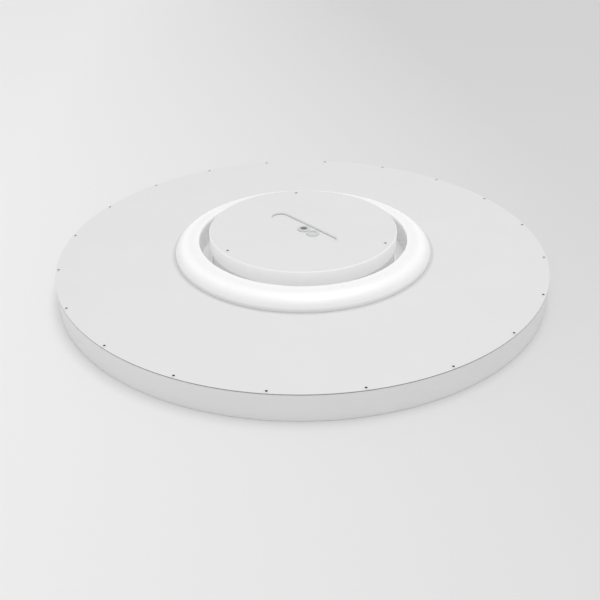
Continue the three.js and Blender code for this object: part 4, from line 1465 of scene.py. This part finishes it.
def wire(name, points, finish, node):
    """An insulated wire along hand-chosen points, as a closed round tube."""
    route = catmull([[v * MM for v in p] for p in points])
    curve = bpy.data.curves.new(name, "CURVE")
    curve.dimensions = "3D"
    curve.bevel_depth = 1.2 * MM
    curve.bevel_resolution = 4
    curve.use_fill_caps = True
    spline = curve.splines.new("POLY")
    spline.points.add(len(route) - 1)
    for spot, place in zip(spline.points, route):
        spot.co = (*place, 1)
    holder = bpy.data.objects.new(name + " route", curve)
    bpy.context.scene.collection.objects.link(holder)
    piece = settle(holder, name)
    piece.data.materials.clear()
    piece.data.materials.append(finish_of(finish))
    piece.data.shade_smooth()
    piece.data.set_sharp_from_angle(angle=math.radians(50))
    face_out(piece)
    belongs(piece, "luminaire", finish, node)


def halo_lead_end():
    radius = high("halo_board").x - 7 * MM
    return Vector((radius * math.cos(HALO_LEAD_TURN), radius * math.sin(HALO_LEAD_TURN)))


def build_wires():
    """Supply wires from the terminal block to the driver, the earth wire, and the leads to the boards."""
    level = ON_PAN / MM + 6
    back = high("terminal_block").y / MM + 0.3
    driver_end = high("driver_case").x / MM
    mid = middle("driver_case").y / MM
    supply = (("line_wire", "brown_wire", -12, 0), ("neutral_wire", "blue_wire", 0, 5))
    for node, finish, pole, lane in supply:
        entry = mid + 4 - lane
        out = 76 + lane
        route = [
            (pole, back, level),
            (pole, back + 5, level),
            (pole - 8, back + 9 + lane, level),
            (-out + 24, 54 + lane / 2, level),
            (-out - 2, 20, level),
            (-out - 6, -20, level),
            (-out, entry + 4, level),
            (-driver_end - 5, entry, level + 1),
            (-driver_end + 5, entry, level + 1),
        ]
        wire(node + "_run", route, finish, node)
    x, y = middle("earth_stud").x / MM, middle("earth_stud").y / MM
    nut_top = ON_PAN / MM + 4.2
    route = [
        (12, back, level),
        (12, back + 6, level),
        (26, back + 8, level),
        (x - 8, y + 10, nut_top + 2.2),
        (x - 3.5, y + 2, nut_top + 1.5),
        (x - 3.5, y - 4, nut_top + 1.5),
    ]
    wire("earth_wire_run", route, "green_wire", "earth_wire")
    pan_top, pan_low = PAN_TOP / MM, PAN_BOTTOM / MM
    under = pan_low - 1.8
    diagonal = math.sqrt(0.5)
    hole_x, hole_y, lane = 84, -34, 1.8
    reach = 160 - 1.3
    route = [
        (driver_end - 5, mid - 2, level),
        (driver_end + 6, mid - 1, level),
        (hole_x, hole_y - lane, pan_top + 4),
        (hole_x, hole_y - lane, pan_low - 1),
        (hole_x + 5, hole_y - 14, under),
        ((reach - 12) * diagonal, -(reach - 12) * diagonal, under),
        (reach * diagonal, -reach * diagonal, under),
    ]
    wire("led_lead_run", route, "white_wire", "led_lead")
    end = halo_lead_end() / MM
    route = [
        (driver_end - 5, mid + 4, level),
        (driver_end + 6, mid + 5, level + 1),
        (hole_x, hole_y + lane, pan_top + 5),
        (hole_x, hole_y + lane, pan_low - 1),
        (hole_x + 12, hole_y - 3, under),
        (end.x - 8, end.y + 4, under),
        (end.x, end.y, pan_low - 0.5),
        (end.x, end.y, pan_top),
    ]
    wire("halo_lead_run", route, "white_wire", "halo_lead")


# ---- Stage: floor, light and camera ----

VIEW_TURN = math.radians(47.7)  # how far round the object the camera stands from -Y
VIEW_DROP = math.radians(31.06)
CAMERA_PLACE = (0.6409, -0.5621, 0.4666)
LENS = 45.45
SIDEWAYS = -0.0263


def build_camera():
    data = bpy.data.cameras.new("Camera")
    data.lens = LENS
    data.sensor_width = 36
    data.shift_x = SIDEWAYS
    data.clip_end = 100
    camera = show(data, "Camera")
    camera.location = CAMERA_PLACE
    camera.rotation_euler = (math.pi / 2 - VIEW_DROP, 0, VIEW_TURN)
    bpy.context.scene.camera = camera


def floor_finish():
    """Plain pale paper, a little brighter on one side than on the other."""
    finish, tree, shader = new_finish("floor paper", Roughness=0.9)
    place = shader_node(tree, "ShaderNodeTexCoord")
    across = VIEW_TURN + math.radians(7)
    side = shader_node(
        tree,
        "ShaderNodeVectorMath",
        {0: place.outputs["Object"], 1: (math.cos(across), math.sin(across), 0)},
        operation="DOT_PRODUCT",
    )
    span = shader_node(
        tree, "ShaderNodeMapRange", {"Value": side.outputs["Value"], "From Min": -0.45, "From Max": 0.45}
    )
    ramp = shader_node(tree, "ShaderNodeValToRGB", {"Fac": span.outputs["Result"]})
    colour = settings("stage").floor
    ramp.color_ramp.elements[0].color = (*[min(1, c * 1.12) for c in colour], 1)
    ramp.color_ramp.elements[1].color = (*[c * 0.88 for c in colour], 1)
    tree.links.new(ramp.outputs["Color"], shader.inputs["Base Color"])
    return finish


def build_floor():
    shape = bmesh.new()
    bmesh.ops.create_grid(shape, x_segments=8, y_segments=8, size=6)
    floor = from_shape(shape, "floor", smooth=False)
    floor.data.materials.append(floor_finish())


def lamp(name, kind, power, turn, rise, distance):
    """A light at an angle round the object, from the camera's right, and at a rise, both in degrees."""
    data = bpy.data.lights.new(name, kind)
    data.energy = power
    around = VIEW_TURN + math.radians(turn)
    up = math.radians(rise)
    flat = math.cos(up)
    place = Vector((math.cos(around) * flat, math.sin(around) * flat, math.sin(up))) * distance
    light = show(data, name)
    light.location = place
    light.rotation_euler = (-place).to_track_quat("-Z", "Y").to_euler()
    return data


def build_light():
    s = settings("stage")
    world = bpy.data.worlds.new("Studio")
    world.use_nodes = True
    back = world.node_tree.nodes["Background"]
    back.inputs["Color"].default_value = (1, 1, 1, 1)
    back.inputs["Strength"].default_value = s.sky
    bpy.context.scene.world = world
    bpy.context.scene.view_settings.view_transform = "Standard"
    lamp("key", "SUN", s.key, 58, 76, 4).angle = math.radians(30)
    lamp("side", "AREA", s.side, -90, 76, 1.6).size = 0.8


# ---- Operators, panel and running order ----


def step(idname, label, doc, *actions):
    """An operator class that runs its actions in order."""

    def execute(self, context):
        for action in actions:
            action()
        return {"FINISHED"}

    name = "LUMINAIRE_OT_" + idname
    return type(name, (bpy.types.Operator,), {
        "__doc__": doc, "bl_idname": "luminaire." + idname, "bl_label": label, "execute": execute,
    })


STEPS = [
    step("stage", "Stage", "Makes the camera, the floor and the light", build_camera, build_floor,
         build_light),
    step("body", "Body", "Makes the band, the back plate and the carrier pan", build_side_ring,
         build_back_plate, build_carrier_pan),
    step("light_side", "Light side", "Makes the diffuser, gasket, reflector and LED boards", build_diffuser,
         build_led_boards),
    step("halo", "Halo", "Makes the halo ring, its collar, reflector and board", build_halo_ring,
         build_halo_parts),
    step("cap", "Ceiling cap", "Makes the cap, its tray, its grommets and its catches", build_cap, build_tray,
         build_grommets, build_catches),
    step("drum", "Drum", "Makes the drum with its lock slots", build_drum),
    step("screws", "Screws", "Makes the rim, cap and clamp screws", build_screws),
    step("driver", "Driver", "Makes the LED driver", build_driver),
    step("terminal", "Terminal block", "Makes the terminal block, its buttons, the clamp and the earth stud",
         build_terminal, build_clamp_and_earth),
    step("wires", "Inner wires", "Makes the inner wires", build_wires),
]


class LUMINAIRE_PT_panel(bpy.types.Panel):
    """Lists the settings and the steps that build the luminaire"""

    bl_label = "Round ceiling luminaire"
    bl_idname = "LUMINAIRE_PT_panel"
    bl_space_type = "VIEW_3D"
    bl_region_type = "UI"
    bl_category = "Luminaire"

    def draw(self, context):
        for name, group in GROUPS.items():
            box = self.layout.box()
            box.label(text=name.capitalize())
            for key in group.__annotations__:
                box.prop(getattr(context.scene, "luminaire_" + name), key)
        for made in STEPS:
            self.layout.operator(made.bl_idname)


GROUPS = {
    "body": LuminaireBody,
    "screws": LuminaireScrews,
    "halo": LuminaireHalo,
    "cap": LuminaireCap,
    "finish": LuminaireFinish,
    "stage": LuminaireStage,
}


def register():
    for made in [*GROUPS.values(), *STEPS, LUMINAIRE_PT_panel]:
        bpy.utils.register_class(made)
    for name, group in GROUPS.items():
        setattr(bpy.types.Scene, "luminaire_" + name, PointerProperty(type=group))


def unregister():
    for name in GROUPS:
        delattr(bpy.types.Scene, "luminaire_" + name)
    for made in reversed([*GROUPS.values(), *STEPS, LUMINAIRE_PT_panel]):
        bpy.utils.unregister_class(made)


def main():
    register()
    for made in STEPS:
        group, name = made.bl_idname.split(".")
        getattr(getattr(bpy.ops, group), name)()


if __name__ == "__main__":
    main()
